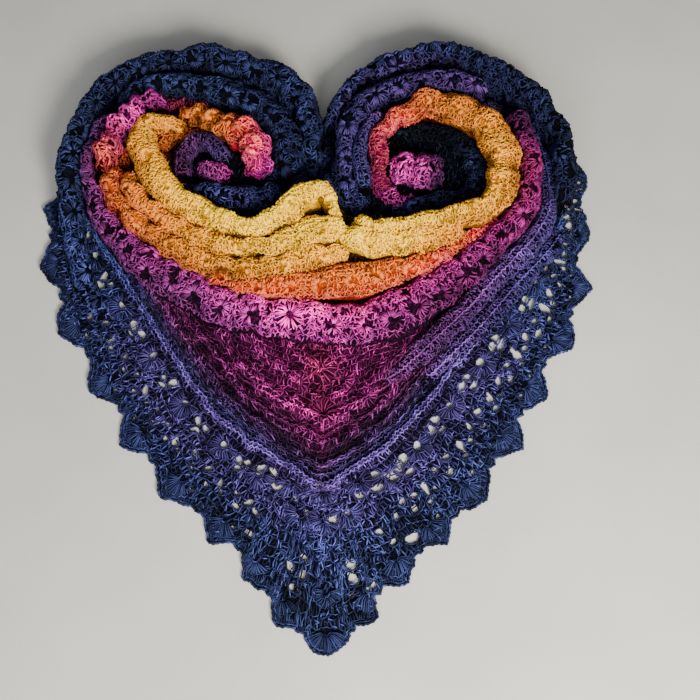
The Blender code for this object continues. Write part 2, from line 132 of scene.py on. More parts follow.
def innerYarn(brightest, contrast, deepest=0.25):
    # The layers of stitches behind the ones in front: the same yarn painted as in shadow, with painted
    # black shadow between the strands and painted shade in deeper patches

    def makeInputs(tree):
        colour = cakeColour(tree, attribute(tree, "shade"))
        # strands lie across one another, a little over 2 mm apart
        loops = addNode(tree, "ShaderNodeTexVoronoi", {"feature": "SMOOTH_F1"}, {
            "Vector": objectPlace(tree), "Scale": 1 / (2.2 * mm), "Smoothness": 0.4}).outputs["Distance"]
        strands = rescale(tree, loops, 0.2, 0.62, brightest, brightest * (1 - contrast))
        # painted shade: darker patches where the layers lie deeper
        depth = rescale(tree, noise(tree, 5, 2.0), 0.35, 0.62, deepest, 1.1)
        value = combine(tree, "MULTIPLY", combine(tree, "MULTIPLY", strands, depth), attribute(tree, "tone"))
        tint = addNode(tree, "ShaderNodeHueSaturation", inputs={
            "Color": colour, "Saturation": 1.12, "Value": value})
        relief = addNode(tree, "ShaderNodeBump", {"invert": True}, {
            "Height": loops, "Distance": 0.9 * mm, "Strength": 0.8})
        return {"Base Color": tint.outputs["Color"], "Roughness": 0.95, "Specular IOR Level": 0.1,
                "Normal": relief.outputs["Normal"]}
    return makeInputs


def mattFloor(tree):
    # Glazed porcelain slab with a matt, slightly pitted face
    grain = noise(tree, 2.2, 3.0)
    both = combine(tree, "MULTIPLY_ADD", grain, 0.35, noise(tree, 160, 4.0))
    ramp = addNode(tree, "ShaderNodeValToRGB", inputs={"Fac": both})
    for stop, (position, colour) in zip(ramp.color_ramp.elements, ((0.35, "bebdb7"), (0.95, "d1d0ca"))):
        stop.position = position
        stop.color = linear(colour)
    pits = addNode(tree, "ShaderNodeBump", inputs={"Height": grain, "Distance": 0.3 * mm, "Strength": 0.35})
    return {"Base Color": ramp.outputs["Color"], "Roughness": 0.62, "Normal": pits.outputs["Normal"]}


plyYarn = finished("pliedGradientYarn", dyedYarn)
# cloth behind the yarn, painted as shade: light behind the warm colours, darker, near black
warmBacking = finished("innerLayersWarm", innerYarn(brightest=1.0, contrast=0.6, deepest=0.5))
midBacking = finished("innerLayersShaded", innerYarn(brightest=0.32, contrast=0.9))
darkBacking = finished("innerLayersDark", innerYarn(brightest=0.13, contrast=0.9))
floorSlab = finished("mattPorcelainFloor", mattFloor)
print("materials made")


# Small numeric helpers

def softNoise(a, b, seed):
    # smooth noise from -1 to 1, one bump for each unit of a and b
    table = np.random.default_rng(seed).uniform(-1, 1, (64, 64))
    a = np.asarray(a, float) + 640.0
    b = np.asarray(b, float) + 640.0
    ia = np.floor(a).astype(int)
    ib = np.floor(b).astype(int)
    fa = a - ia
    fb = b - ib
    fa = fa * fa * (3 - 2 * fa)
    fb = fb * fb * (3 - 2 * fb)
    low = table[ia % 64, ib % 64] * (1 - fa) + table[(ia + 1) % 64, ib % 64] * fa
    high = table[ia % 64, (ib + 1) % 64] * (1 - fa) + table[(ia + 1) % 64, (ib + 1) % 64] * fa
    return low * (1 - fb) + high * fb


def unit(vectors):
    return vectors / np.maximum(np.linalg.norm(vectors, axis=-1, keepdims=True), 1e-9)


def smoothRow(rows, places):
    # Catmull-Rom curve through the rows, at these places: 0 is the first row
    rows = np.asarray(rows, float)
    places = np.asarray(places, float)
    first = np.clip(np.floor(places).astype(int), 0, len(rows) - 2)
    t = (places - first)[..., None]
    a = rows[np.maximum(first - 1, 0)]
    b = rows[first]
    c = rows[first + 1]
    d = rows[np.minimum(first + 2, len(rows) - 1)]
    return b + 0.5 * t * (c - a + t * (2 * a - 5 * b + 4 * c - d + t * (3 * (b - c) + d - a)))


def evenly(points, step):
    # the same line with points at equal steps, and the length from its start to each; only x and y count
    lengths = np.concatenate([[0], np.cumsum(np.hypot(*np.diff(points[:, :2], axis=0).T))])
    count = max(3, int(round(lengths[-1] / step)))
    wanted = np.linspace(0, lengths[-1], count + 1)
    return np.stack([np.interp(wanted, lengths, points[:, k]) for k in range(points.shape[1])], 1), wanted


# Yarn: every strand is a tube of three sides, shaded smooth

strandSides = 3


class Yarn:
    def __init__(self):
        self.points = []
        self.faces = []
        self.shade = []
        self.tone = []
        self.count = 0

    def strands(self, paths, up, radius, shade, tone):
        # paths: strands x points x 3. The other values are single, one for each strand, or one for each
        # point.
        paths = np.asarray(paths, float)
        n, k, _ = paths.shape
        if n == 0:
            return

        def forEach(value):
            return np.broadcast_to(value if np.ndim(value) == 2 else np.reshape(value, (-1, 1)), (n, k))

        up = np.asarray(up, float)
        up = np.broadcast_to(up[:, None] if up.ndim == 2 else up, (n, k, 3))
        way = unit(np.gradient(paths, axis=1))
        side = unit(np.cross(way, up))
        lift = np.cross(side, way)
        radius, shade, tone = forEach(radius)[..., None], forEach(shade), forEach(tone)
        # pale dyes wash out when they are lit too strongly
        tone = np.minimum(tone, np.interp(shade, (0.3, 0.6), (1.3, 3.2)))
        m = strandSides
        turns = math.pi / 2 + np.arange(m) * math.tau / m
        tube = np.stack([paths + radius * (math.sin(t) * lift + math.cos(t) * side) for t in turns], 2)
        start = self.count + np.arange(n)[:, None, None] * k * m + np.arange(k - 1)[None, :, None] * m
        corner = np.arange(m)[None, None, :]
        a = start + corner
        b = start + (corner + 1) % m
        self.faces += np.stack([b, a, a + m, b + m], -1).reshape(-1, 4).tolist()
        first = self.count + np.arange(n)[:, None] * k * m
        self.faces += (first + np.arange(m)).tolist()
        self.faces += (first + (k - 1) * m + np.arange(m)[::-1]).tolist()
        self.points.append(tube.reshape(-1, 3))
        self.shade.append(np.repeat(shade.reshape(-1), m))
        self.tone.append(np.repeat(tone.reshape(-1), m))
        self.count += n * k * m


def toFrame(points):
    # from the tables' millimetres to the frame's metres
    points = np.array(points, float)
    points[:, :2] -= centre
    return points * mm


def meshPiece(name, points, faces, shade, tone, material):
    mesh = bpy.data.meshes.new(name)
    mesh.from_pydata(toFrame(points), [], faces)
    for label, values in (("shade", shade), ("tone", tone)):
        layer = mesh.attributes.new(label, "FLOAT", "POINT")
        layer.data.foreach_set("value", np.asarray(values, np.float32))
    mesh.materials.append(material)
    mesh.shade_smooth()
    mesh.update()
    piece = bpy.data.objects.new(name, mesh)
    bpy.context.scene.collection.objects.link(piece)
    return piece


def yarnPiece(name, yarn):
    piece = meshPiece(name, np.concatenate(yarn.points), yarn.faces, np.concatenate(yarn.shade),
                      np.concatenate(yarn.tone), plyYarn)
    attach(piece, "root")
    print(name, sum(len(face) - 2 for face in yarn.faces), "triangles")
    return piece


def dressCloth(piece, thickness, node):
    # a thin cloth that is shown in place of a solid
    shell = piece.modifiers.new("thickness", "SOLIDIFY")
    shell.thickness = thickness * mm
    shell.offset = -1.0
    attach(piece, "root")
    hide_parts(node)


def gridFaces(n, m):
    index = np.arange(n * m).reshape(n, m)
    return np.stack([index[:-1, :-1], index[:-1, 1:], index[1:, 1:], index[1:, :-1]], -1).reshape(-1, 4)


def alternate(count, size):
    # by turns one way and the other
    return np.where(np.arange(count) % 2 == 0, size, -size)


def runsOf(inside):
    # the unbroken stretches of True, as slices of places
    places = np.flatnonzero(inside)
    return [] if len(places) == 0 else np.split(places, np.flatnonzero(np.diff(places) > 1) + 1)


# What the cloth lies on, felt from above

def nodeTree(names):
    points = []
    faces = []
    for name in names:
        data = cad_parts[name].data
        faces += [[v + len(points) for v in face.vertices] for face in data.polygons]
        points += [v.co.copy() for v in data.vertices]
    return BVHTree.FromPolygons(points, faces)


foldNodes = [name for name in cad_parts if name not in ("lace_panel", "hidden_layers")]
moundTree = nodeTree(["hidden_layers"])
groundTree = nodeTree(["hidden_layers", "lace_panel"])
foldTree = nodeTree(foldNodes)
coverTree = nodeTree(foldNodes + ["hidden_layers"])
highAbove = 90     # every look downwards starts at this height


def heightUnder(tree, x, y):
    # height of the solids at these places, 0 where there is only the floor
    found = []
    for px, py in zip(np.ravel(x), np.ravel(y)):
        start = Vector(((px - centre[0]) * mm, (py - centre[1]) * mm, highAbove * mm))
        hit = tree.ray_cast(start, Vector((0, 0, -1)))[0]
        found.append(hit.z / mm if hit else 0.0)
    return np.reshape(found, np.shape(x))


# The folds. Each row of a fold's table is a section: x, y, half of the width and height of its crest.
# shade: share of the length and place on the yarn cake. light: share of the length and the painted light and
# shade there. across: how much further along the cake the left and right feet are, partly the yarn's own
# change from row to row and partly painted shade in the creases. crease: length from the crest down to the
# full painted shadow. deep: how far down the yarn goes. lean: how far the crest stands to one side.
# wave: length, sideways swing and rise of a ruffle. pucker: size of the bumps. eyelets: one stitch in so many
# is left out. fan: stitches gathered together. ladder: the row that is worked open. flatter: how much wider
# and lower a pleat is. rope: how light its raised chain is. endLength: how long its ends take to rise.

foldShape = {
    "step": 2.0, "sections": 25, "columns": 41,     # of the grid that a fold is made on
    "flank": 0.8, "crown": 0.6,                     # powers that make the arch steeper and flatter on top
    "seam": 0.5,                                    # gap under the feet
    "endLength": 12, "waveLag": 1.9,
    "hem": 0.8,                                     # yarn stops this far from a foot
    "fuller": 1.2, "puckered": 1.5,                 # softer and fuller than the solids
    "crease": 15, "leastRise": 4,
    "toFoot": 16,                                   # length down a flank where its foot's shade is reached
}
stitches = {
    "rowHeight": 4.9, "pitch": 2.3, "ladderPitch": 2.2, "chainStep": 2.0, "ropeStep": 2.1,
    "yarn": 0.88,           # half of the thickness of a strand
    "backing": 0.7,         # depth of the thin cloth behind the yarn
    "loose": 0.6,           # how unevenly the posts stand
    "gather": 0.5, "slant": 0.55,
    "loopArea": 18,         # square millimetres of cloth for each odd loop
    "covered": 5,           # yarn that lies this far under another fold is left out
    # the painted shade behind the yarn is light up to this place on the cake
    "warm": 0.42,           # up to here on the yarn cake the cloth behind the yarn is light
}
# the low ruffles' light of 0.5 is painted shade down between the folds
ruffleBasics = {"slot": "dark_layers", "node": "hidden_layers", "above": True, "deep": 30, "eyelets": 5,
                "pucker": 1.6, "across": (.03, .03), "light": [(0, .5), (1, .5)]}

folds = {
    "magenta_fold": {
        "rows": [
            (-185, 206, 4.5, 36), (-197, 195, 4.5, 38), (-203, 178, 4.5, 38), (-208, 158, 4.5, 37),
            (-205, 139, 5, 36), (-200, 121, 6.5, 34), (-193, 105, 8, 31), (-180, 89, 9, 28),
            (-147, 57, 13, 25), (-120, 42, 14.5, 23), (-90, 25, 16, 22), (-59, 16, 16.5, 21),
            (-29, 11, 16, 21), (0, 7, 16, 21), (30, 5, 16.5, 21), (60, 11, 18, 21),
            (89, 25, 18, 21), (113, 40, 16, 22), (137, 59, 12, 24), (158, 79, 10.5, 27),
            (182, 104, 10, 32), (191, 125, 8.5, 35), (192, 150, 8, 37), (190, 172, 8, 38),
            (186, 190, 8, 38), (178, 203, 6, 36)],
        "slot": "magenta_yarn", "lean": 0.28, "crease": 26, "deep": 24, "fan": 5, "eyelets": 7, "pucker": 1.1,
        "wave": (27, 1.0, 1.3),
        "light": [(0, .75), (.15, .7), (.3, .78), (.38, 1.0), (.47, 1.35), (.57, 1.05), (.66, .65), 
                  (.74, .44), (.84, .34), (1, .3)],
        "shade": [(0, .69), (.08, .66), (.2, .61), (.32, .60), (.4, .57), (.46, .545), (.53, .535),
                  (.6, .55), (.68, .57), (.78, .57), (.84, .52), (.92, .50), (.97, .62), (1, .69)],
        "across": (-.05, .04)},
    "navy_rim_left": {
        "rows": [
            (-193, 22, 3.5, 8), (-206, 40, 5, 11), (-213, 62, 6, 14), (-218, 84, 7, 19),
            (-222, 104, 7.5, 25), (-223, 122, 8, 32), (-223, 144, 8.5, 38), (-223, 166, 8.5, 40),
            (-216, 188, 8.5, 40), (-204, 214, 9.5, 40), (-185, 237, 10, 41), (-152, 252, 9.5, 42),
            (-124, 256, 11, 42), (-96, 257.5, 12.5, 42), (-66, 250, 13, 42), (-38, 240, 13, 42),
            (-17, 221, 12, 41), (-9, 198, 10, 39), (-7, 175, 7.5, 36), (-6, 156, 6.5, 31)],
        "slot": "navy_yarn", "deep": 46, "fan": 6, "eyelets": 11, "pucker": 1.9,
        "light": [(0, 1.5), (.12, 1.4), (.22, 1.05), (.5, .9), (.62, .75), (.75, .95), (1, .8)],
        "shade": [(0, .88), (.15, .90), (.3, .95), (.45, .94), (.6, .93), (.75, .91), (.88, .90), (1, .93)],
        "across": (.04, .03)},
    "navy_band_left": {
        "rows": [
            (-183, 216, 4, 36), (-168, 227, 5.5, 40), (-152, 234, 6.5, 41), (-130, 234, 8, 42),
            (-104, 229, 11, 43), (-78, 221, 12.5, 43), (-56, 212, 12.5, 42), (-37, 197, 12.5, 42),
            (-28, 178, 12, 42), (-27, 158, 11.5, 40), (-23, 141, 9, 35)],
        "slot": "navy_yarn", "lean": -0.25, "deep": 22, "fan": 6, "eyelets": 9, "pucker": 1.9,
        "light": [(0, 1), (.3, 1.05), (.5, .8), (.75, .6), (.85, .8), (1, .6)],
        "shade": [(0, .93), (.3, .93), (.6, .90), (1, .92)], "across": (.03, .06)},
    "pink_ruffle": {
        "rows": [
            (-138, 221, 4, 42), (-148, 218, 6.5, 45), (-159, 210, 8, 46), (-170, 199, 8.5, 47),
            (-180, 186, 8.5, 47), (-186, 172, 8, 46), (-191, 159, 7, 45), (-194.5, 149, 4.5, 42)],
        "slot": "pink_yarn", "wave": (14, 1.8, 2.2), "lean": 0.25, "deep": 20, "eyelets": 5, "pucker": 1.9,
        "light": [(0, .65), (.2, .7), (.42, 1.1), (.75, .85), (1, 1.2)],
        "shade": [(0, .55), (.45, .53), (.7, .47), (.86, .40), (1, .38)], "across": (.03, .03)},
    "orange_outer_fold": {
        "rows": [
            (-180, 152, 4, 41), (-185, 137, 7.5, 44), (-183, 124, 8, 44), (-173, 109, 7.5, 42),
            (-158, 95.5, 6.5, 41), (-141, 83, 7, 39), (-122, 71, 7.5, 37), (-102, 61, 7.5, 35),
            (-80, 56, 7, 34), (-50, 54, 6.5, 34), (-20, 58, 7.5, 34), (0, 63, 8, 35),
            (16, 65, 6, 35), (26, 64, 3, 33)],
        "slot": "orange_yarn", "wave": (21, 1.2, 1.6), "lean": 0.3, "deep": 20, "eyelets": 6, "pucker": 1.6,
        "light": [(0, .95), (.6, .92), (1, 1.5)],
        "shade": [(0, .33), (.15, .28), (.35, .21), (.6, .15), (.8, .10), (1, .08)], "across": (.07, .10)},
    "orange_inner_fold": {
        "rows": [
            (-168, 146, 4, 46), (-168, 133, 6, 47), (-161, 119.5, 6.5, 47), (-148.5, 107, 6, 46),
            (-128, 93, 7, 44), (-104, 79, 7, 42), (-80, 72.5, 6.5, 41), (-50, 71, 7, 41),
            (-20, 78, 8.5, 42), (0, 86, 11, 43), (21, 82, 9, 43), (39, 74, 10, 42), (56, 72, 9.5, 41),
            (74, 73, 9.5, 41), (94, 76, 9.5, 41), (112, 81, 6.5, 40), (130, 88, 3.5, 39)],
        "slot": "orange_yarn", "wave": (24, 1.2, 1.8), "lean": 0.34, "deep": 18, "eyelets": 7, "pucker": 1.6,
        "light": [(0, 1.25), (.2, 1.15), (.5, 1.2), (.68, 1.9), (.8, 1.9), (.9, 1.3), (1, 1.4)],
        "shade": [(0, .27), (.15, .22), (.3, .13), (.45, .06), (.55, .03), (.68, .0), (.8, .02), (.9, .09),
                  (1, .20)],
        "across": (.02, .06)},
    "orange_swag": {
        "rows": [
            (-74, 43, 3, 26), (-56, 40, 5, 28), (-34, 39, 7, 29), (-10, 40, 10, 30),
            (14, 41, 13, 31), (38, 43, 13.5, 31), (60, 48, 11, 32), (82, 54, 7, 32),
            (102, 60.5, 4.5, 32), (117, 68, 3, 32)],
        "slot": "coral_yarn", "lean": 0.2, "crease": 24, "deep": 22, "fan": 4, "eyelets": 5, "pucker": 0.8,
        "light": [(0, .9), (.4, 1.1), (.8, 1), (1, 1)],
        "shade": [(0, .32), (.3, .28), (.6, .27), (.85, .31), (1, .40)], "across": (.03, .08)},
    "yellow_collar": {
        "rows": [
            (-119, 190, 3.5, 44), (-138, 192, 4.5, 47), (-155, 187, 6.5, 48), (-158, 170, 12, 50),
            (-151, 152, 12, 50), (-143, 135, 11.5, 50), (-128, 117, 11, 50), (-106, 104, 10.5, 49),
            (-86, 94, 8.5, 48), (-69, 88, 6, 48), (-52, 88, 6, 48), (-36, 96, 7.5, 49),
            (-19, 108, 9, 51), (-5, 116, 8, 53), (5, 118, 5.5, 53), (10, 108, 4.5, 50), (15, 99, 3, 45),
            (20, 92, 2, 40)],
        "slot": "yellow_yarn", "wave": (34, .9, 1.6), "lean": 0.38, "deep": 24, "eyelets": 8, "pucker": 1.1,
        "light": [(0, 1.2), (.3, 1.5), (.6, 1.75), (.7, 1.7), (1, 1.7)],
        "shade": [(0, .17), (.12, .13), (.25, .12), (.38, .07), (.5, .02), (.75, .0), (1, .02)],
        "across": (.05, .07)},
    "ribbon_right": {
        "rows": [
            (31, 96, 3.6, 47), (40, 88, 4.2, 45), (54, 85, 4.4, 45), (71, 86, 4.7, 46), (90, 89, 5, 46),
            (112, 93, 5.5, 47), (135, 99, 7, 48), (153, 107, 9, 49), (164, 122, 11.5, 50), (167, 141, 13, 50),
            (165, 162, 13.5, 50), (154, 183, 15, 49), (136, 198, 13, 48), (115, 206, 10.5, 47),
            (98, 209, 9.5, 46), (84, 200, 6.5, 45), (70, 192, 5.5, 44), (58, 182, 6, 43),
            (54, 168, 6.5, 41), (53, 151, 5.5, 37), (53, 137, 6, 31), (61, 124, 7, 27)],
        "slot": "yellow_yarn", "wave": (31, .9, 1.6), "lean": 0.38, "deep": 24, "eyelets": 8, "pucker": 1.2,
        "light": [(0, 1.4), (.2, 1.15), (.32, 1.05), (.45, 1.15), (.7, 1.15), (.8, 1.2), (.86, .7),
                  (.92, .42), (1, .32)],
        "shade": [(0, .02), (.15, .03), (.28, .10), (.4, .14), (.5, .15), (.58, .19), (.66, .23), (.74, .30),
                  (.82, .38), (.9, .43), (1, .47)],
        "across": (.05, .06)},
    "coral_ruffle": {
        "rows": [
            (-127, 204, 4, 38), (-107, 200, 7, 42), (-90, 194, 8.5, 44), (-74, 185, 11.5, 45),
            (-61, 177, 12, 45), (-54, 164, 10.5, 44), (-54, 150, 8, 40), (-57, 141, 5, 34)],
        "slot": "coral_yarn", "wave": (16, 2.0, 2.4), "lean": -0.2, "deep": 20, "eyelets": 5, "pucker": 2.1,
        "light": [(0, 1.2), (.2, .85), (.38, .7), (.5, .85), (.66, 1.4), (.8, 1.5), (.92, .85), (1, .6)],
        "shade": [(0, .30), (.2, .24), (.4, .27), (.55, .36), (.7, .40), (.85, .43), (1, .50)],
        "across": (.08, .02)},
    "purple_curl": {
        "rows": [
            (-122, 144, 4.5, 30), (-122, 160, 5.5, 34), (-114, 173, 5.5, 36), (-102, 177, 5.5, 36),
            (-91, 170, 5.5, 34), (-82, 158, 5, 31)],
        "slot": "purple_yarn", "wave": (17, .5, 1.2), "deep": 18, "eyelets": 6, "pucker": 0.9,
        "light": [(0, .5), (.4, .7), (.6, .4), (.8, .45), (1, .7)],
        "shade": [(0, .64), (.5, .68), (1, .76)], "across": (.02, .06)},
    "magenta_tongue": {
        "rows": [(-110, 155, 4, 30), (-100, 152, 5.5, 32), (-88, 147, 6, 31), (-79, 144, 4, 28)],
        "slot": "magenta_yarn", "deep": 16, "eyelets": 5, "pucker": 1.0,
        "light": [(0, .9), (.3, .75), (1, .7)],
        "shade": [(0, .64), (.5, .60), (1, .55)], "across": (.03, .05)},
    "navy_bunch": {
        "rows": [
            (-118, 128, 4, 24), (-103, 129, 6, 29), (-86, 123, 10, 31), (-66, 118, 12, 32),
            (-46, 121, 10, 32), (-32, 127, 6, 29)],
        "slot": "navy_yarn", "wave": (20, 1.0, 2.2), "deep": 20, "fan": 5, "eyelets": 5, "pucker": 1.8,
        "light": [(0, .6), (.4, 1), (.6, .7), (1, .8)],
        "shade": [(0, .84), (.5, .83), (1, .88)], "across": (.05, .05)},
    "navy_rim_right": {
        "rows": [
            (12, 188, 4, 34), (16, 205, 5, 37), (28, 222, 6, 39), (45, 238, 7, 40), (72, 251, 8, 42),
            (90, 256, 9, 42), (114, 261, 9.5, 42), (132, 256, 9.5, 42), (153, 249, 9.5, 42),
            (177, 234, 9.5, 42), (199, 213, 9.5, 42), (212, 194, 9, 41), (222, 167, 9, 40),
            (223, 146, 8, 37), (222, 124, 8, 31), (222, 113, 6, 26)],
        "slot": "navy_yarn", "wave": (38, .8, .8), "deep": 46, "fan": 6, "eyelets": 9, "pucker": 1.5,
        "light": [(0, .5), (.12, .7), (.3, .75), (.42, .55), (.6, .55), (1, .5)],
        "shade": [(0, .86), (.12, .82), (.3, .82), (.42, .87), (.55, .92), (.7, .95), (1, .92)],
        "across": (.12, -.06)},
    "violet_roll": {
        "rows": [
            (158, 222, 6, 39), (140, 228, 8, 41), (118, 232, 10, 42), (100, 233, 10.5, 42),
            (84, 228, 10.5, 42), (62, 220, 11, 42), (42, 207, 10.5, 42), (29, 190, 9, 42),
            (25, 172, 6.4, 41), (23, 153, 6.8, 39), (22.4, 134, 7.4, 36), (27.5, 119, 7.5, 33),
            (42, 108, 6, 30)],
        "slot": "violet_yarn", "lean": 0.2, "deep": 24, "fan": 7, "eyelets": 8, "pucker": 1.3, "ladder": 1,
        "light": [(0, .9), (.2, .7), (.35, .8), (.5, .6), (.7, .85), (.86, .6), (1, .6)],
        "shade": [(0, .73), (.25, .76), (.5, .78), (.75, .78), (.9, .82), (1, .86)], "across": (.02, .05)},
    "violet_inner_roll": {
        "rows": [
            (62, 201, 2.5, 37), (52, 193, 3.2, 39), (42, 179, 4.5, 40), (37, 158, 5.5, 40),
            (39, 142, 5.5, 38), (42, 128, 4.5, 33)],
        "slot": "violet_yarn", "deep": 18, "eyelets": 6, "pucker": 0.9,
        "light": [(0, .75), (1, .75)],
        "shade": [(0, .70), (.5, .79), (1, .84)], "across": (.04, .06)},
    "navy_ring": {
        "rows": [
            (70, 176, 4.5, 24), (84, 184.5, 5.5, 25), (102, 186.5, 6, 25), (120, 180, 6, 26),
            (134, 167, 7.5, 27), (142, 150, 8.5, 28), (142, 130, 8.5, 28), (131, 116, 8, 28),
            (111, 113, 8, 28), (92, 113, 8, 28), (77, 107, 6.5, 27), (63, 106, 6, 25)],
        "slot": "navy_yarn", "deep": 16, "eyelets": 6, "pucker": 1.6,
        "light": [(0, .2), (.3, .1), (.42, .45), (.5, .7), (.6, .4), (.8, .45), (1, .7)],
        "shade": [(0, .98), (.3, .98), (.5, .95), (.7, .91), (1, .85)], "across": (.02, .04)},
    "magenta_core": {
        "rows": [(64, 150, 6.5, 31), (74, 148, 12, 35), (87, 145, 14.5, 37), (101, 145, 14.5, 35),
                 (114, 144, 10, 30)],
        "slot": "magenta_yarn", "wave": (15, 1.0, 3.0), "crease": 22, "deep": 24, "eyelets": 30,
        "pucker": 1.6,
        "light": [(0, 1.05), (.5, 1.0), (.75, .6), (1, .42)],
        "shade": [(0, .53), (.4, .54), (.6, .57), (.8, .62), (1, .66)], "across": (.04, .03)},
    "violet_pleat_upper": {
        "rows": [
            (54, -44, 3, 8), (72, -33, 5, 11), (93, -15, 6, 13), (113, 3, 6.5, 15), (133, 21, 6.5, 17),
            (152, 41, 6.5, 19), (172, 61, 6.5, 21), (192, 82, 6.5, 24), (205, 104, 5, 28),
            (207, 130, 4, 31), (206, 154, 4, 34), (204, 174, 3.5, 33)],
        "slot": "violet_yarn", "deep": 20, "eyelets": 8, "pucker": 1.2, "endLength": 60,
        "flatter": 2.5, "rope": 1.7,
        "light": [(0, 1.05), (.25, .75), (.5, 1.1), (.6, 1.15), (.75, .7), (.85, .5), (1, .6)],
        "shade": [(0, .66), (.3, .70), (.6, .74), (.8, .78), (1, .86)], "across": (-.02, .04)},
    "violet_pleat_lower": {
        "rows": [
            (93, -42, 3, 7), (115, -22, 5, 10), (137, -1, 5.5, 12), (156, 19, 5.5, 14), (172, 37, 5.5, 15),
            (189, 54, 5.5, 16), (206, 72, 5.5, 17), (220, 91, 5, 18)],
        "slot": "violet_yarn", "deep": 18, "eyelets": 8, "pucker": 1.2, "endLength": 50,
        "flatter": 2.5, "rope": 1.7,
        "light": [(0, 1.2), (.2, 1.2), (.36, .8), (.6, .6), (.8, .95), (1, .6)],
        "shade": [(0, .73), (.5, .77), (1, .82)], "across": (0, .06)},
}


# Low ruffles of the layers underneath, that show between the folds. Here the fourth number of a section is
# the height above what they lie on.
lowRuffles = {
    "violet_strip": {
        "rows": [(156, 219, 4, 8), (176, 208, 5, 10), (192, 192, 5, 10), (201, 174, 5, 9), (205, 156, 5, 8),
                 (206, 138, 4, 6)],
        "shade": [(0, .76), (1, .80)], "light": [(0, .6), (1, .5)]},
    "coral_patch": {
        "rows": [(96, 64, 4, 7), (114, 71, 5, 9), (132, 79, 5.5, 10), (147, 90, 5, 9), (158, 102, 4, 7)],
        "shade": [(0, .28), (.5, .36), (1, .45)], "light": [(0, 1), (1, 1)]},
    "swag_start": {
        "rows": [(-112, 60, 4, 6), (-96, 51, 5, 7), (-78, 45, 5, 8), (-60, 41, 5, 8), (-44, 40, 5, 7)],
        "shade": [(0, .36), (1, .32)], "light": [(0, .8), (1, .8)]},
    "maroon_crease": {
        "rows": [(-152, 223, 3.5, 9), (-136, 220, 5, 10), (-118, 216, 5, 10), (-102, 213, 4.5, 9),
                 (-88, 208, 3.5, 7)],
        "shade": [(0, .50), (.5, .46), (1, .60)]},
    "dark_crease_left": {
        "rows": [(-86, 208, 4, 5), (-66, 199, 5, 6), (-49, 187, 5, 6), (-41, 171, 5, 6), (-40, 154, 5, 6),
                 (-44, 138, 4, 5)],
        "shade": [(0, .96), (1, .94)]},
    "orange_crease": {
        "rows": [(-143, 171, 4, 6), (-139, 180, 5, 8), (-127, 184, 5.5, 9), (-113, 184, 5, 9),
                 (-99, 187, 4, 8)],
        "shade": [(0, .28), (1, .26)]},
    "coral_crease": {
        "rows": [(-163, 198, 3.5, 6), (-171, 184, 4.5, 7), (-176, 168, 4.5, 7), (-177, 154, 4, 6)],
        "shade": [(0, .40), (1, .34)]},
    "violet_crease": {
        "rows": [(160, 207, 4, 6), (146, 214, 5, 8), (126, 218, 5, 9), (104, 220, 5, 9), (84, 214, 5, 9),
                 (66, 204, 4.5, 7), (54, 195, 3.5, 5)],
        "shade": [(0, .76), (1, .80)]},
    "maroon_patch": {
        "rows": [(62, 132, 5, 5), (66, 121, 6.5, 6), (76, 116, 6.5, 6), (88, 118, 5, 5)],
        "shade": [(0, .52), (1, .58)]},
    "notch_left": {
        "rows": [(-2, 196, 5, 9), (-4, 178, 6, 12), (-8, 158, 6, 12), (-10, 144, 7, 13), (-14, 130, 7, 12),
                 (-20, 122, 6, 9)],
        "shade": [(0, .93), (1, .95)]},
    "notch_middle": {
        "rows": [(7, 198, 5, 9), (9, 180, 6, 12), (8, 160, 6, 12), (7, 142, 6, 13), (8, 126, 6, 12),
                 (14, 118, 5, 9)],
        "shade": [(0, .93), (1, .90)]},
}
for name, fold in lowRuffles.items():
    folds[name] = {**ruffleBasics, **fold}


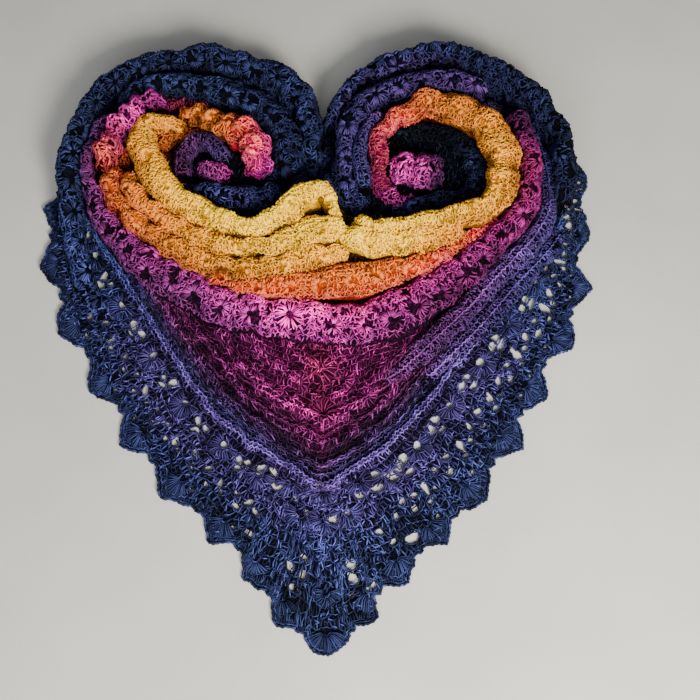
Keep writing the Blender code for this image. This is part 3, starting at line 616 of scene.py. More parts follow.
class Arch:
    # A smooth fold: points and normals by length along the crest, u, and by length down from it, w

    def __init__(self, fold, seed):
        line = smoothRow(fold["rows"], np.linspace(0, len(fold["rows"]) - 1, 40 * len(fold["rows"])))
        line, self.u = evenly(line, foldShape["step"])
        self.seed = seed
        self.length = self.u[-1]
        fromEnd = np.minimum(self.u, self.length - self.u)
        rising = np.sqrt(np.clip((fromEnd + 2) / fold.get("endLength", foldShape["endLength"]), 0, 1))
        self.layGrid(self.sections(fold, line, rising))
        self.pucker(fold["pucker"] * foldShape["puckered"], rising)

    def sections(self, fold, line, rising):
        # an arch of cloth at each place along the crest, from the left foot to the right one
        u, seed = self.u, self.seed
        x, y, half, crest = line.T
        flatter = fold.get("flatter", 0)
        half = half + foldShape["fuller"] + 0.7 * flatter
        half = half * (1 + 0.13 * softNoise(u / 14, seed + 0 * u, seed + 3))
        if "above" in fold:
            crest = heightUnder(groundTree, x, y) + crest
        crest = crest - flatter + 1.3 * softNoise(u / 12, seed + 0 * u, seed + 4)
        way = unit(np.gradient(line[:, :2], axis=0))
        left = np.stack([-way[:, 1], way[:, 0]], 1)
        if "wave" in fold:
            length, swing, rise = fold["wave"]
            turn = math.tau * u / length
            x = x + left[:, 0] * swing * np.sin(turn)
            y = y + left[:, 1] * swing * np.sin(turn)
            crest = crest + rise * np.sin(turn + foldShape["waveLag"])
        feet = [self.footLevel(x, y, left * side, half)[:, None] for side in (1, -1)]
        turn = np.linspace(0, math.pi, foldShape["sections"])
        across = np.copysign(np.abs(np.cos(turn)) ** foldShape["flank"], np.cos(turn))
        # a fold that leans: its crest stands over the hollow side and its face slopes away outwards
        across = across + fold.get("lean", 0) * (1 - across ** 2)
        arch = np.clip(np.sin(turn), 0, 1) ** foldShape["crown"]
        foot = feet[0] * (1 + across) / 2 + feet[1] * (1 - across) / 2
        rise = np.maximum(crest[:, None] - foot, foldShape["leastRise"]) * rising[:, None]
        reach = half[:, None] * across
        return np.stack([x[:, None] + left[:, :1] * reach, y[:, None] + left[:, 1:] * reach,
                         foot + rise * arch], -1)

    def footLevel(self, x, y, away, half):
        # height of what one foot stands on, evened out along the fold
        under = [heightUnder(groundTree, x + away[:, 0] * reach, y + away[:, 1] * reach)
                 for reach in (half, half - 3)]
        level = np.pad(np.maximum(*under), 3, mode="edge")
        return np.convolve(level, np.ones(7) / 7, "valid") + foldShape["seam"]

    def layGrid(self, section):
        # the same sections at even steps of length down each flank, left flank first
        down = np.concatenate([np.zeros((len(section), 1)),
                               np.cumsum(np.linalg.norm(np.diff(section, axis=1), axis=2), 1)], 1)
        top = foldShape["sections"] // 2
        self.flank = np.stack([down[:, top], down[:, -1] - down[:, top]], 1)
        self.places = np.linspace(-1, 1, foldShape["columns"])
        self.grid = np.empty((len(section), foldShape["columns"], 3))
        for i, (left, right) in enumerate(self.flank):
            wanted = down[i, top] + self.places * np.where(self.places < 0, left, right)
            for k in range(3):
                self.grid[i, :, k] = np.interp(wanted, down[i], section[i, :, k])
        self.normals = self.normalsOf(self.grid)

    def pucker(self, size, rising):
        # broad soft bumps and small ones, none at the feet
        free = 1 - np.abs(self.places[None, :]) ** 4
        bumps = self.bumps(self.u[:, None], self.places[None, :] * self.flank.mean())
        self.grid = self.grid + self.normals * (size * free * bumps * rising[:, None])[..., None]
        self.normals = self.normalsOf(self.grid)

    def normalsOf(self, grid):
        # out of the cloth: the sections run from the left foot to the right one
        return unit(np.cross(np.gradient(grid, axis=1), np.gradient(grid, axis=0)))

    def bumps(self, u, w):
        return softNoise(u / 11, w / 9, self.seed) + 0.55 * softNoise(u / 5, w / 4.5, self.seed + 1)

    def at(self, u, w):
        u = np.asarray(u, float)
        w = np.asarray(w, float)
        i = np.clip(u / self.length * (len(self.u) - 1), 0, len(self.u) - 1.001)
        first = i.astype(int)
        share = (i - first)[..., None]
        flank = np.where(w < 0, self.flank[first, 0], self.flank[first, 1])
        j = (np.clip(w / flank, -1, 1) + 1) / 2 * (len(self.places) - 1)
        column = np.clip(j, 0, len(self.places) - 1.001).astype(int)
        part = (j - column)[..., None]

        def mix(values):
            near = values[first, column] * (1 - part) + values[first, column + 1] * part
            far = values[first + 1, column] * (1 - part) + values[first + 1, column + 1] * part
            return near * (1 - share) + far * share
        return mix(self.grid), unit(mix(self.normals)), np.abs(w) < flank - foldShape["hem"]


def foldShade(fold, arch, u, w):
    shares, shades = zip(*fold["shade"])
    along = np.interp(u / arch.length, shares, shades)
    side = np.clip(np.abs(w) / foldShape["toFoot"], 0, 1)
    return along + side * np.where(w < 0, fold["across"][0], fold["across"][1])


def foldTone(fold, arch, u, w):
    # painted light on the crest and painted shade down in the creases, the painted light and shade of the
    # fold's light table along it, lighter on the tops of its bumps and darker between them, and lighter or
    # darker from place to place
    shares, lights = zip(*fold["light"])
    patch = 0.32 * arch.bumps(u, w) + 0.30 * softNoise(u / 3, w / 3, 72)
    fromCrest = 1.16 - 0.6 * np.clip(np.abs(w) / fold.get("crease", foldShape["crease"]), 0, 1)
    return np.interp(u / arch.length, shares, lights) * np.maximum(fromCrest + patch, 0.2)


def makeBacking(name, fold, arch):
    # the cloth behind the yarn: it closes the gaps between the posts and is painted as the shade in them,
    # a little further along the cake than the yarn and darker behind the dark colours
    columns = np.linspace(0, arch.length, max(4, int(arch.length / 3.2)))
    rows = arch.places[::2]
    flanks = np.stack([np.interp(columns, arch.u, arch.flank[:, k]) for k in (0, 1)], 1)
    w = np.where(rows < 0, rows[None, :] * flanks[:, :1], rows[None, :] * flanks[:, 1:]) * 0.995
    u = np.broadcast_to(columns[:, None], w.shape)
    points, normals, _ = arch.at(u, w)
    points = points - normals * stitches["backing"]
    shade = foldShade(fold, arch, u, w) + 0.04
    tone = foldTone(fold, arch, u, w) * np.interp(shade, (0.5, 0.85), (1, 0.6))
    warm = fold["shade"][len(fold["shade"]) // 2][1] < stitches["warm"]
    piece = meshPiece(name, points.reshape(-1, 3), gridFaces(*w.shape), shade.reshape(-1), tone.reshape(-1),
                      warmBacking if warm else midBacking)
    dressCloth(piece, 0.9, fold.get("node", name.replace("_cloth", "")))
    return piece


def uneven(shade):
    # some strands catch the light and others don't, most of all in the dark colours
    spread = np.interp(shade, (0.1, 0.5, 0.85), (0.22, 0.55, 0.68))
    return 1 + spread * rng.uniform(-1, 1.15, np.shape(shade))


def covered(points):
    # True well under another fold
    return heightUnder(foldTree, points[..., 0], points[..., 1]) > points[..., 2] + stitches["covered"]


def onFan(fold, u, w):
    # True where a fan of the fold covers the place
    found = np.zeros(np.shape(u), bool)
    for fanU, fanW, radius in fold["fans"]:
        found |= np.hypot(u - fanU, w - fanW) < radius
    return found


def rowWander(u, row):
    # no row of stitches is quite straight
    return 1.1 * softNoise(u / 8, np.full(len(u), row * 2.3), 8)


def foldPosts(yarn, fold, arch, row):
    # the upright stitches of a row; rows count from the crest, below 0 on the left
    low = row * stitches["rowHeight"]
    high = low + stitches["rowHeight"]
    if abs(low + stitches["rowHeight"] / 2) > fold["deep"]:
        return
    ladder = row == fold.get("ladder")
    group = fold.get("fan", 1)
    pitch = stitches["pitch"] * (stitches["ladderPitch"] if ladder else 1)
    number = np.arange(int(arch.length / pitch))
    number = number[((number + 3 * row) % fold["eyelets"] != 0) | ladder]
    shift = (row % 2) * pitch / 2
    u = (number + 0.5) * pitch + shift
    middle = (np.floor(number / group) + 0.5) * group * pitch + shift
    gather = 0.0 if group == 1 else stitches["gather"]
    slant = np.where(number % 2 == 0, stitches["slant"], -stitches["slant"])
    base = u + (middle - u) * gather + rng.normal(0, stitches["loose"], len(u))
    tip = u + slant + rng.normal(0, stitches["loose"], len(u))
    inner, outer = (low, high) if row >= 0 else (high, low)
    lean = rng.normal(0, stitches["loose"], len(u))
    slip = rng.normal(0, stitches["loose"], len(u))
    paths = []
    for share, lift, extra in ((0, -0.45, 0), (0.5, 0.7, 1), (1, -0.2, 0)):
        points, normals, inside = arch.at(
            np.clip(base + (tip - base) * share + lean * extra, 0, arch.length),
            inner + (outer - inner) * share + rowWander(u, row) + slip)
        paths.append(points + normals * lift)
    centreW = np.full(len(u), (inner + outer) / 2)
    shown = inside & (tip < arch.length - 1) & ~onFan(fold, u, centreW) & ~covered(points)
    shade = foldShade(fold, arch, u, centreW)
    tone = foldTone(fold, arch, u, centreW) * uneven(shade)
    radius = stitches["yarn"] * rng.uniform(0.8, 1.15, (shown.sum(), 1))
    yarn.strands(np.stack(paths, 1)[shown], normals[shown], radius, shade[shown], tone[shown])


def foldChain(yarn, fold, arch, row):
    # the tops of a row of stitches, plaited
    w = row * stitches["rowHeight"]
    if abs(w) > fold["deep"]:
        return
    u = np.arange(1.5, arch.length - 1.5, stitches["chainStep"])
    zigzag = alternate(len(u), 1.0)
    points, normals, inside = arch.at(u, w + 0.7 * zigzag + rowWander(u, row))
    points = points + normals * (0.6 + 0.35 * zigzag + rng.normal(0, 0.15, len(u)))[:, None]
    level = np.full(len(u), w)
    shade = foldShade(fold, arch, u, level)
    tone = foldTone(fold, arch, u, level) * rng.uniform(0.8, 1.35, len(u))
    sunk = softNoise(u / 10, np.full(len(u), row * 1.3), 9) > 0.55
    for run in runsOf(inside & ~(onFan(fold, u, level) | covered(points) | sunk)):
        if len(run) > 3:
            yarn.strands(points[None, run], normals[None, run], stitches["yarn"] * 0.95, shade[None, run],
                         tone[None, run])


def foldRope(yarn, fold, arch):
    # a raised chain along the crest
    u = np.arange(3, arch.length - 3, stitches["ropeStep"])
    points, normals, _ = arch.at(u, alternate(len(u), 0.6))
    tone = fold["rope"] * foldTone(fold, arch, u, 0 * u) * rng.uniform(0.6, 1.2, len(u))
    yarn.strands((points + normals * 1.5)[None], normals[None], 1.1, foldShade(fold, arch, u, 0 * u)[None],
                 tone[None])


def foldLoops(yarn, fold, arch):
    # odd loops lie every way over the rows
    around = min(2 * fold["deep"], arch.flank.sum(1).mean())
    count = int(arch.length * around / stitches["loopArea"])
    u = rng.uniform(2, arch.length - 2, count)
    w = rng.uniform(-1, 1, count) * min(fold["deep"], arch.flank.mean())
    turn = rng.uniform(0, math.tau, count)
    reach = rng.uniform(1.4, 2.8, count)
    paths = []
    for share, lift in ((-1, 0.1), (0, 1.25), (1, 0.1)):
        points, normals, inside = arch.at(np.clip(u + share * reach * np.cos(turn), 0, arch.length),
                                          w + share * reach * np.sin(turn))
        paths.append(points + normals * lift)
    shown = inside & ~onFan(fold, u, w) & ~covered(points)
    shade = foldShade(fold, arch, u, w)
    tone = foldTone(fold, arch, u, w) * uneven(shade) * 1.05
    yarn.strands(np.stack(paths, 1)[shown], normals[shown], stitches["yarn"] * 0.85, shade[shown],
                 tone[shown])


def foldFan(yarn, fold, arch, fanU, fanW, radius):
    # petals round a dark eye, two strands to each, over most of the circle or all of it
    petals = int(5 + radius * 0.85)
    around = math.tau if radius > 10 else 4.2
    turns = rng.uniform(0, math.tau) + np.linspace(0, around, petals, endpoint=False)
    turns = turns + rng.normal(0, 0.12, petals)
    at = np.full(petals, fanU), np.full(petals, fanW)
    shade = foldShade(fold, arch, *at)
    for spread in (-0.35, 0.35):
        paths = []
        for reach, lift in ((0.3, -0.2), (0.65, 1.1), (1.05, 0.1)):
            angle = turns + spread * math.tau / petals * reach * 0.8
            points, normals, inside = arch.at(
                np.clip(fanU + radius * reach * np.cos(angle), 0, arch.length),
                fanW + radius * reach * np.sin(angle))
            paths.append(points + normals * lift)
        shown = inside & ~covered(points) & (rng.uniform(0, 1, petals) > 0.1)
        tone = foldTone(fold, arch, *at) * uneven(shade) * 1.02
        yarn.strands(np.stack(paths, 1)[shown], normals[shown], 0.9, shade[shown], tone[shown])


def makeFoldYarn(name, fold, arch):
    yarn = Yarn()
    rows = int(fold["deep"] // stitches["rowHeight"]) + 1
    for row in range(-rows, rows):
        foldPosts(yarn, fold, arch, row)
    for row in range(-rows, rows + 1):
        foldChain(yarn, fold, arch, row)
    if "rope" in fold:
        foldRope(yarn, fold, arch)
    foldLoops(yarn, fold, arch)
    for fan in fold["fans"]:
        foldFan(yarn, fold, arch, *fan)
    return yarnPiece(name, yarn)


# Shells: rows of fans along a fold. First place and step along the crest, length down from it, radius
shellRows = {
    "magenta_fold": [(22, 25, 8, 8.5), (12, 31, -7, 6.5)],
    "navy_rim_left": [(14, 27, 6, 9.5), (30, 31, -8, 8)],
    "navy_rim_right": [(18, 27, -6, 9), (32, 30, 8, 8)],
    "navy_band_left": [(16, 24, 3, 8.5)],
    "violet_roll": [(15, 24, -2, 8.5)],
    "yellow_collar": [(30, 41, 3, 5.5)],
    "ribbon_right": [(110, 33, -3, 5.5)],
    "orange_inner_fold": [(24, 37, 5, 5)],
    "orange_outer_fold": [(30, 35, 4, 5.5)],
    "orange_swag": [(22, 26, 5, 6)],
    "pink_ruffle": [(9, 13, 2, 4.5)],
    "coral_ruffle": [(8, 14, 1, 5)],
    "navy_bunch": [(12, 20, 2, 6.5)],
    "navy_ring": [(10, 21, 0, 5)],
    "magenta_core": [(8, 11, 3, 4), (13, 12, -6, 4)],
}
# The largest fans: share of the length, length down from the crest, radius
bigFans = {"magenta_fold": [(0.47, 3, 12)], "violet_roll": [(0.47, 1, 11), (0.64, 2, 10)]}


def setFans(name, fold, arch):
    found = [(share * arch.length, w, radius) for share, w, radius in bigFans.get(name, [])]
    for first, step, w, radius in shellRows.get(name, []):
        for u in np.arange(first, arch.length - radius, step):
            u = u + rng.uniform(-2, 2)
            if all(math.hypot(u - other[0], w - other[1]) > radius + other[2] for other in found):
                found.append((u, w + rng.uniform(-1, 1), radius * rng.uniform(0.85, 1.1)))
    fold["fans"] = found


crestPlaces = []
crestShades = []
for order, (name, fold) in enumerate(folds.items()):
    arch = Arch(fold, 100 + 7 * order)
    setFans(name, fold, arch)
    cloth = makeBacking(name + "_cloth", fold, arch)
    strands = makeFoldYarn(name + "_yarn", fold, arch)
    crestPlaces.append(arch.grid[:, len(arch.places) // 2, :2])
    crestShades.append(foldShade(fold, arch, arch.u, 0 * arch.u))
crestPlaces = np.concatenate(crestPlaces)
crestShades = np.concatenate(crestShades)
print("folds made")


# The flat corner of the shawl. A row for each valley between two scallops of the outer edge:
# seam x, seam y (under the lowest fold), rib x, rib y (raised row), valley x, valley y, scallop depth

lace = {
    "backing": 1.5,          # top of the thin cloth between the posts
    "yarnLevel": 2.7,        # middle of the yarn on it
    "lowest": 1.1,           # the cloth sags no further than this
    "edgeWidth": 1.4,        # the edging stands free of the backing
    "firstColumn": -10,
    "rows": [
        (-228, 138, -230, 137, -240, 140, 9.0), (-207, 116, -206, 101, -243, 98, 9.0),
        (-182, 90, -178, 58, -231, 40, 13.0), (-160, 68, -149, 13, -206, -14, 12.5),
        (-134, 47, -121, -31, -173, -64, 13.5), (-106, 28, -91, -70, -145, -108, 12.5),
        (-78, 17, -56, -99, -106, -152, 11.5), (-48, 10, -31, -117, -71, -183, 11.5),
        (-24, 7, -15, -126, -45, -221, 11.0), (-10, 4, -6, -131, -22, -249, 9.5),
        (0, 3, 0, -133, 1, -249, 17.5),
        (10, 4, 6, -131, 24, -249, 9.5), (24, 4, 15, -126, 44, -221, 11.0),
        (48, 5, 31, -117, 79, -188, 11.5), (74, 11, 53, -103, 111, -160, 11.5),
        (98, 19, 82, -74, 144, -118, 12.5), (122, 34, 111, -38, 172, -76, 13.5),
        (146, 55, 140, -5, 195, -31, 13.0), (176, 79, 168, 27, 223, 15, 13.0),
        (203, 101, 196, 64, 231, 65, 13.0), (221, 121, 225, 108, 240, 120, 8.0),
        (233, 160, 236, 162, 240, 166, 8.0)],
}
lastColumn = lace["firstColumn"] + len(lace["rows"]) - 1


def laceRow(column):
    return smoothRow(lace["rows"], np.asarray(column, float) - lace["firstColumn"])


scallopShape = {"valley": 0.13, "small": 3.0, "rounding": 0.10, "deeper": 1.18}


def scallop(column, depth):
    # a blunt corner between two valleys, with a small scallop in each valley
    column = np.asarray(column, float)
    atTip = np.abs(column) < 1
    share = np.where(atTip, (column + 1) / 2, column - np.floor(column))
    depth = np.where(atTip, lace["rows"][-lace["firstColumn"]][6], depth) * scallopShape["deeper"]
    valley = scallopShape["valley"]
    beside = np.minimum(share, 1 - share)
    along = np.clip((beside - valley * 0.8) / (0.5 - valley * 0.8), 0, 1)
    soft = scallopShape["rounding"]
    corner = 1 - (np.sqrt((1 - along) ** 2 + soft ** 2) - soft) / (math.sqrt(1 + soft ** 2) - soft)
    corner = np.where(atTip, np.sin(along * math.pi / 2), corner)
    small = 0.5 + 0.5 * np.cos(math.pi * np.clip(beside / valley, 0, 1))
    return depth * corner ** np.where(atTip, 0.5, 0.8) + scallopShape["small"] * small


def lacePoint(column, share):
    # in plan: share 0 on the rib, 1 at the outer edge, and -1 at the seam under the lowest fold
    column, share = np.broadcast_arrays(np.asarray(column, float), np.asarray(share, float))
    row = laceRow(column)
    seam, rib, valley = row[..., 0:2], row[..., 2:4], row[..., 4:6]
    before = laceRow(np.maximum(column - 0.3, lace["firstColumn"]))[..., 4:6]
    after = laceRow(np.minimum(column + 0.3, lastColumn))[..., 4:6]
    along = unit(after - before)
    outward = np.stack([along[..., 1], -along[..., 0]], -1)
    outward = np.where(np.abs(column[..., None]) < 1, (0.0, -1.0), outward)
    out = np.clip(share, 0, 1)[..., None]
    inward = np.clip(-share, 0, 1)[..., None]
    border = rib + (valley - rib) * out + outward * (scallop(column, row[..., 6])[..., None] * out ** 3)
    return np.where(inward > 0, rib + (seam - rib) * inward, border)


ribColumns = np.linspace(lace["firstColumn"], lastColumn, 240)
ribLine = lacePoint(ribColumns, 0.0)
bodyLengths = np.linalg.norm(np.array(lace["rows"])[:, 0:2] - np.array(lace["rows"])[:, 2:4], axis=1)
borderLengths = np.linalg.norm(np.array(lace["rows"])[:, 4:6] - np.array(lace["rows"])[:, 2:4], axis=1)


def lengthAt(column, lengths):
    return np.interp(column, np.arange(len(lengths)) + lace["firstColumn"], lengths)


class DistanceMap:
    # how far each place is from the raised row: above 0 outside it, below 0 on the side of the folds

    def __init__(self, step=2.5):
        self.step = step
        self.low = np.array([-262.0, -292.0])
        x, y = np.meshgrid(np.arange(self.low[0], 263, step), np.arange(self.low[1], 186, step),
                           indexing="ij")
        flat = np.column_stack([x.reshape(-1), y.reshape(-1)])
        way = unit(np.gradient(ribLine, axis=0))
        found = np.empty(len(flat))
        for start in range(0, len(flat), 3000):
            away = flat[start:start + 3000, None, :] - ribLine[None, :, :]
            nearest = (away ** 2).sum(-1).argmin(1)
            gap = away[np.arange(len(nearest)), nearest]
            outside = gap[:, 0] * way[nearest, 1] - gap[:, 1] * way[nearest, 0]
            found[start:start + 3000] = np.linalg.norm(gap, axis=1) * np.where(outside > 0, 1, -1)
        self.values = found.reshape(x.shape)

    def at(self, points):
        cell = (points[..., :2] - self.low) / self.step
        cell = np.clip(cell, 0, np.array(self.values.shape) - 1.001)
        first = cell.astype(int)
        share = cell - first
        i, j = first[..., 0], first[..., 1]
        v = self.values
        near = v[i, j] * (1 - share[..., 1]) + v[i, j + 1] * share[..., 1]
        far = v[i + 1, j] * (1 - share[..., 1]) + v[i + 1, j + 1] * share[..., 1]
        return near * (1 - share[..., 0]) + far * share[..., 0]


fromRib = DistanceMap()

# Ridges: distance from the raised row, half of the width, height, and how light the yarn on it is: painted
# light on the rows that stand up, painted shade in the one that sinks
ridges = [(-1.0, 3.0, 2.4, 0.8), (-16, 2.4, 2.6, 0.46), (-29, 2.6, 2.8, 0.36), (-46, 4.5, 3.4, 0.28),
          (-66, 5.5, 3.6, 0.22), (-86, 6.5, 3.6, 0.24), (-8.5, 3.5, 1.2, 0.26), (8.5, 2.6, -0.8, -0.35)]


def ridgeAt(points, part):
    x, y = points[..., 0], points[..., 1]
    distance = fromRib.at(points)
    # the rows wander and come and go, the more the further they are from the raised one
    loose = np.clip(-distance / 30, 0.1, 1)
    strength = 1 + 0.75 * loose * softNoise(x / 12, y / 12, 52)
    distance = distance + 5.0 * loose * softNoise(x / 19, y / 19, 51)
    total = 0.0
    for row in ridges:
        total = total + row[part] * np.exp(-((distance - row[0]) / row[1]) ** 2)
    return total * strength


def laceRelief(points):
    # rows that stand up, and soft waves all over
    x, y = points[..., 0], points[..., 1]
    waves = 0.9 * softNoise(x / 17, y / 17, 11) + 0.5 * softNoise(x / 7, y / 7, 12)
    return np.maximum(waves + ridgeAt(points, 2), -0.7)


def laceTone(points):
    # the body is worked loosely and its yarn is painted dark as shade beside the folds, with painted light on
    # its raised ridges and a little lighter in its middle; the border is painted lighter on the right, the
    # side the key lamp is on, and lighter in the middle, and has lighter patches
    x, y = points[..., 0], points[..., 1]
    inside = fromRib.at(points) < 0
    patch = 1 + softNoise(x / 13, y / 13, 13) * 0.3 + softNoise(x / 6, y / 6, 14) * 0.35 \
        + softNoise(x / 2.8, y / 2.8, 15) * 0.3
    centreGlow = 0.04 * np.exp(-((x - 2) / 45) ** 2)
    border = np.where(x > 0, 0.76, 0.68) + 0.15 * np.exp(-(x / 45) ** 2)
    base = np.where(inside, 0.17 + centreGlow, border)
    return np.maximum(base + ridgeAt(points, 3), 0.08) * np.maximum(patch, 0.2)


def wander(points):
    # no row of crochet is quite straight
    x, y = points[..., 0].copy(), points[..., 1].copy()
    moved = np.array(points, float)
    moved[..., 0] = x + 1.7 * softNoise(x / 9, y / 9, 61) + 0.8 * softNoise(x / 3.5, y / 3.5, 63)
    moved[..., 1] = y + 1.7 * softNoise(x / 9, y / 9, 62) + 0.8 * softNoise(x / 3.5, y / 3.5, 64)
    return moved


def laceShade(column, distance):
    # violet on the rib, magenta in the middle of the body, navy at the outer edge and on both wings
    shade = np.interp(distance, *zip(
        (-130, .495), (-85, .50), (-60, .51), (-44, .545), (-30, .61), (-15, .69), (0, .77), (12, .80),
        (30, .81), (48, .87), (70, .92), (95, .95)))
    shade = shade + np.where(distance < 0, 0.018 * np.minimum(np.abs(column), 5), 0)
    wing = np.clip((np.abs(column) - 6.5) / 2.5, 0, 1)
    return shade * (1 - wing) + np.maximum(shade, 0.93) * wing


def wavy(column, share):
    # the rows of the border swing outwards at the middle of every repeat
    return share + 0.05 * np.sin(math.pi * np.clip(share, 0, 1)) * (0.5 - 0.5 * np.cos(math.tau * column))


def borderPoint(column, share):
    return lacePoint(column, wavy(column, share))


def bodyPoint(column, distance):
    return lacePoint(column, -np.asarray(distance, float) / np.maximum(lengthAt(column, bodyLengths), 1))


def columnsAlong(curve, low, high, step):
    # columns at even steps along a line of the lace
    fine = np.linspace(low, high, 1200)
    line = np.column_stack([curve(fine), fine])
    return evenly(line, step)[0][:, 2]


def directionAt(column, share):
    # outwards from the rib, in plan
    return unit(lacePoint(column, share + 0.04) - lacePoint(column, share - 0.04))


# Holes between the stitches, where the floor shows: x, y, half length, half width, turn in degrees.
# The first ones lie round the corner, and the others come back in every repeat of the border:
# column, share, half length along the edge, half width, turn in degrees.
cornerHoles = [
    (-71, -118, 4.2, 2.6, -20), (-53, -118, 6.0, 3.2, -25), (-42, -121, 5.4, 1.8, -35),
    (-39, -133, 7.2, 3.0, -20), (-3.5, -133.5, 2.3, 2.4, 0), (4, -138, 3.0, 3.6, 0),
    (45, -125, 6.4, 3.1, 15),
    (59, -127, 4.8, 4.8, 0), (46, -136, 7.2, 3.6, 0), (31, -143, 3.4, 3.0, 30), (-23, -144, 3.4, 2.6, -20),
    (8, -162, 7.2, 4.0, 0), (22, -158, 2.6, 4.4, 0), (-13, -157, 2.4, 5.0, 20), (-57, -154, 5.2, 2.2, -50),
    (-62, -172, 6.6, 2.6, -40), (47, -173, 4.0, 3.2, 40), (61, -161, 3.0, 3.2, 0), (58, -181, 4.8, 3.0, 25),
    (74, -178, 6.0, 4.0, 25), (-17, -193, 6.0, 2.2, -50), (-28, -200, 4.6, 2.8, -60),
    (-17, -206, 4.0, 3.2, -50),
    (-25, -217, 7.0, 3.2, -50), (23, -200, 6.0, 3.0, 40), (25, -210, 4.6, 3.2, 30), (38, -218, 6.0, 3.0, 50),
    (24, -222, 4.0, 2.4, 0), (6, -230, 3.0, 2.8, 0),
]
repeatHoles = [
    (-0.10, .25, 4.4, 2.7, 20), (0.09, .22, 3.6, 3.4, 0), (0.02, .345, 4.6, 2.2, -10),
    (0.5, .20, 3.0, 3.0, 0),
    (0.33, .50, 3.6, 2.2, 35), (0.66, .50, 3.6, 2.2, -35), (-0.03, .60, 5.6, 2.5, 60),
    (0.12, .66, 2.4, 2.0, 0),
    (-0.16, .70, 2.6, 1.8, 0), (0.48, .60, 3.2, 2.0, 0), (0.30, .80, 1.8, 1.6, 0), (0.70, .80, 2.0, 1.7, 0),
]
cornerColumns = 3.3        # inside this column the holes come from the first table

holes = [[x, y, a, b, math.radians(t)] for x, y, a, b, t in cornerHoles]
for column in range(-9, 11):
    for part, share, long, wide, turn in repeatHoles:
        c = column + part
        if abs(c) < cornerColumns:
            continue
        x, y = borderPoint(c, share)
        out = directionAt(c, share)
        size = (1.2 if c > 0 else 1.0) * rng.uniform(0.82, 1.12)
        holes.append([x, y, long * size * 1.15, wide * size,
                      math.atan2(-out[0], out[1]) + math.radians(turn) * (1 if c > 0 else -1)])
holes = np.array(holes)

# Fans: an eye with stitches all round it. Column, share, first and last angle from outwards, posts, inner
# and outer radius. Those of the corner come first.
fans = [
    (0.0, .045, -125, 125, 17, 3.6, 12.5), (0.0, .235, -120, 120, 19, 5.0, 14.5),
    (0.0, .70, -110, 110, 15, 3.2, 11),
    (0.0, .90, -78, 78, 17, 3.0, 16.5), (-1.75, .26, -115, 115, 17, 3.6, 14),
    (1.75, .26, -115, 115, 17, 3.6, 14),
    (-2.6, .10, -115, 115, 15, 3.2, 13), (2.6, .10, -115, 115, 15, 3.2, 13),
    (-1.5, .80, -70, 70, 13, 3.0, 15), (1.5, .80, -70, 70, 13, 3.0, 15),
    (-2.5, .78, -70, 70, 13, 3.0, 15), (2.5, .78, -70, 70, 13, 3.0, 15),
]
for column in range(-9, 10):
    middle = column + 0.5
    if abs(middle) > 3:
        fans.append((middle, .20, -118, 118, 17, 3.4, 13.5))
        fans.append((middle, .745, -66, 66, 13, 3.0, 15.0))
# fans of the body: column, distance inside the raised row along the column
bodyFans = [
    (0.0, 62, 0, 300, 11, 3.5, 14), (0.0, 101, 0, 300, 11, 3.5, 14), (-1.9, 84, 0, 250, 9, 3, 9.5),
    (1.9, 84, 0, 250, 9, 3, 9.5), (-3.1, 66, 0, 250, 9, 3, 9), (3.0, 60, 0, 250, 9, 3, 9),
    (-2.2, 46, 0, 220, 8, 3, 8), (2.3, 42, 0, 220, 8, 3, 8), (4.2, 62, 0, 220, 8, 2.6, 8),
]
fans += [(column, -distance, *rest) for column, distance, *rest in bodyFans]


def fanPlace(column, share):
    return borderPoint(column, share) if share > 0 else bodyPoint(column, -share)


fanPlaces = np.array([fanPlace(fan[0], fan[1]) for fan in fans])
fanWays = np.array([directionAt(fan[0], max(fan[1], 0.0)) for fan in fans])


def rim(turns, x):
    # the holes are rounded triangles more than ovals, each turned its own way
    return 1 + 0.14 * np.cos(3 * turns + x) + 0.05 * np.cos(4 * turns)


def inHole(points, grow=1.0):
    # how many of the holes' sizes each point is from the nearest one: below 1 is inside
    flat = points[..., :2].reshape(-1, 2)
    nearest = np.full(len(flat), 9.0)
    for x, y, long, wide, turn in holes:
        dx = flat[:, 0] - x
        dy = flat[:, 1] - y
        along = (dx * math.cos(turn) + dy * math.sin(turn)) / (long * grow)
        across = (-dx * math.sin(turn) + dy * math.cos(turn)) / (wide * grow)
        nearest = np.minimum(nearest, np.hypot(along, across) / rim(np.arctan2(across, along), x))
    return nearest.reshape(points.shape[:-1])


def pushOut(points, margin):
    # moves points that lie in a hole to its rim
    flat = points[..., :2].reshape(-1, 2).copy()
    for x, y, long, wide, turn in holes:
        dx = flat[:, 0] - x
        dy = flat[:, 1] - y
        along = dx * math.cos(turn) + dy * math.sin(turn)
        across = -dx * math.sin(turn) + dy * math.cos(turn)
        size = np.hypot(along / (long + margin), across / (wide + margin))
        size = size / rim(np.arctan2(across / wide, along / long), x)
        inside = (size < 1) & (size > 1e-6)
        factor = np.where(inside, 1 / np.maximum(size, 1e-6), 1)
        along, across = along * factor, across * factor
        flat[:, 0] = np.where(inside, x + along * math.cos(turn) - across * math.sin(turn), flat[:, 0])
        flat[:, 1] = np.where(inside, y + along * math.sin(turn) + across * math.cos(turn), flat[:, 1])
    moved = points.copy()
    moved[..., :2] = flat.reshape(points.shape[:-1] + (2,))
    return moved


edgeLine = lacePoint(np.linspace(lace["firstColumn"], lastColumn, 800), 1.0)


def insideEdge(points):
    # True inside the scalloped edge: counts how often a line towards the folds crosses it
    x, y = points[:, 0, None], points[:, 1, None]
    a, b = edgeLine[:-1], edgeLine[1:]
    spans = (a[:, 0] <= x) != (b[:, 0] <= x)
    across = np.where(b[:, 0] == a[:, 0], 1e-9, b[:, 0] - a[:, 0])
    crossing = a[:, 1] + (x - a[:, 0]) * (b[:, 1] - a[:, 1]) / across
    return (spans & (crossing < y)).sum(1) % 2 == 1


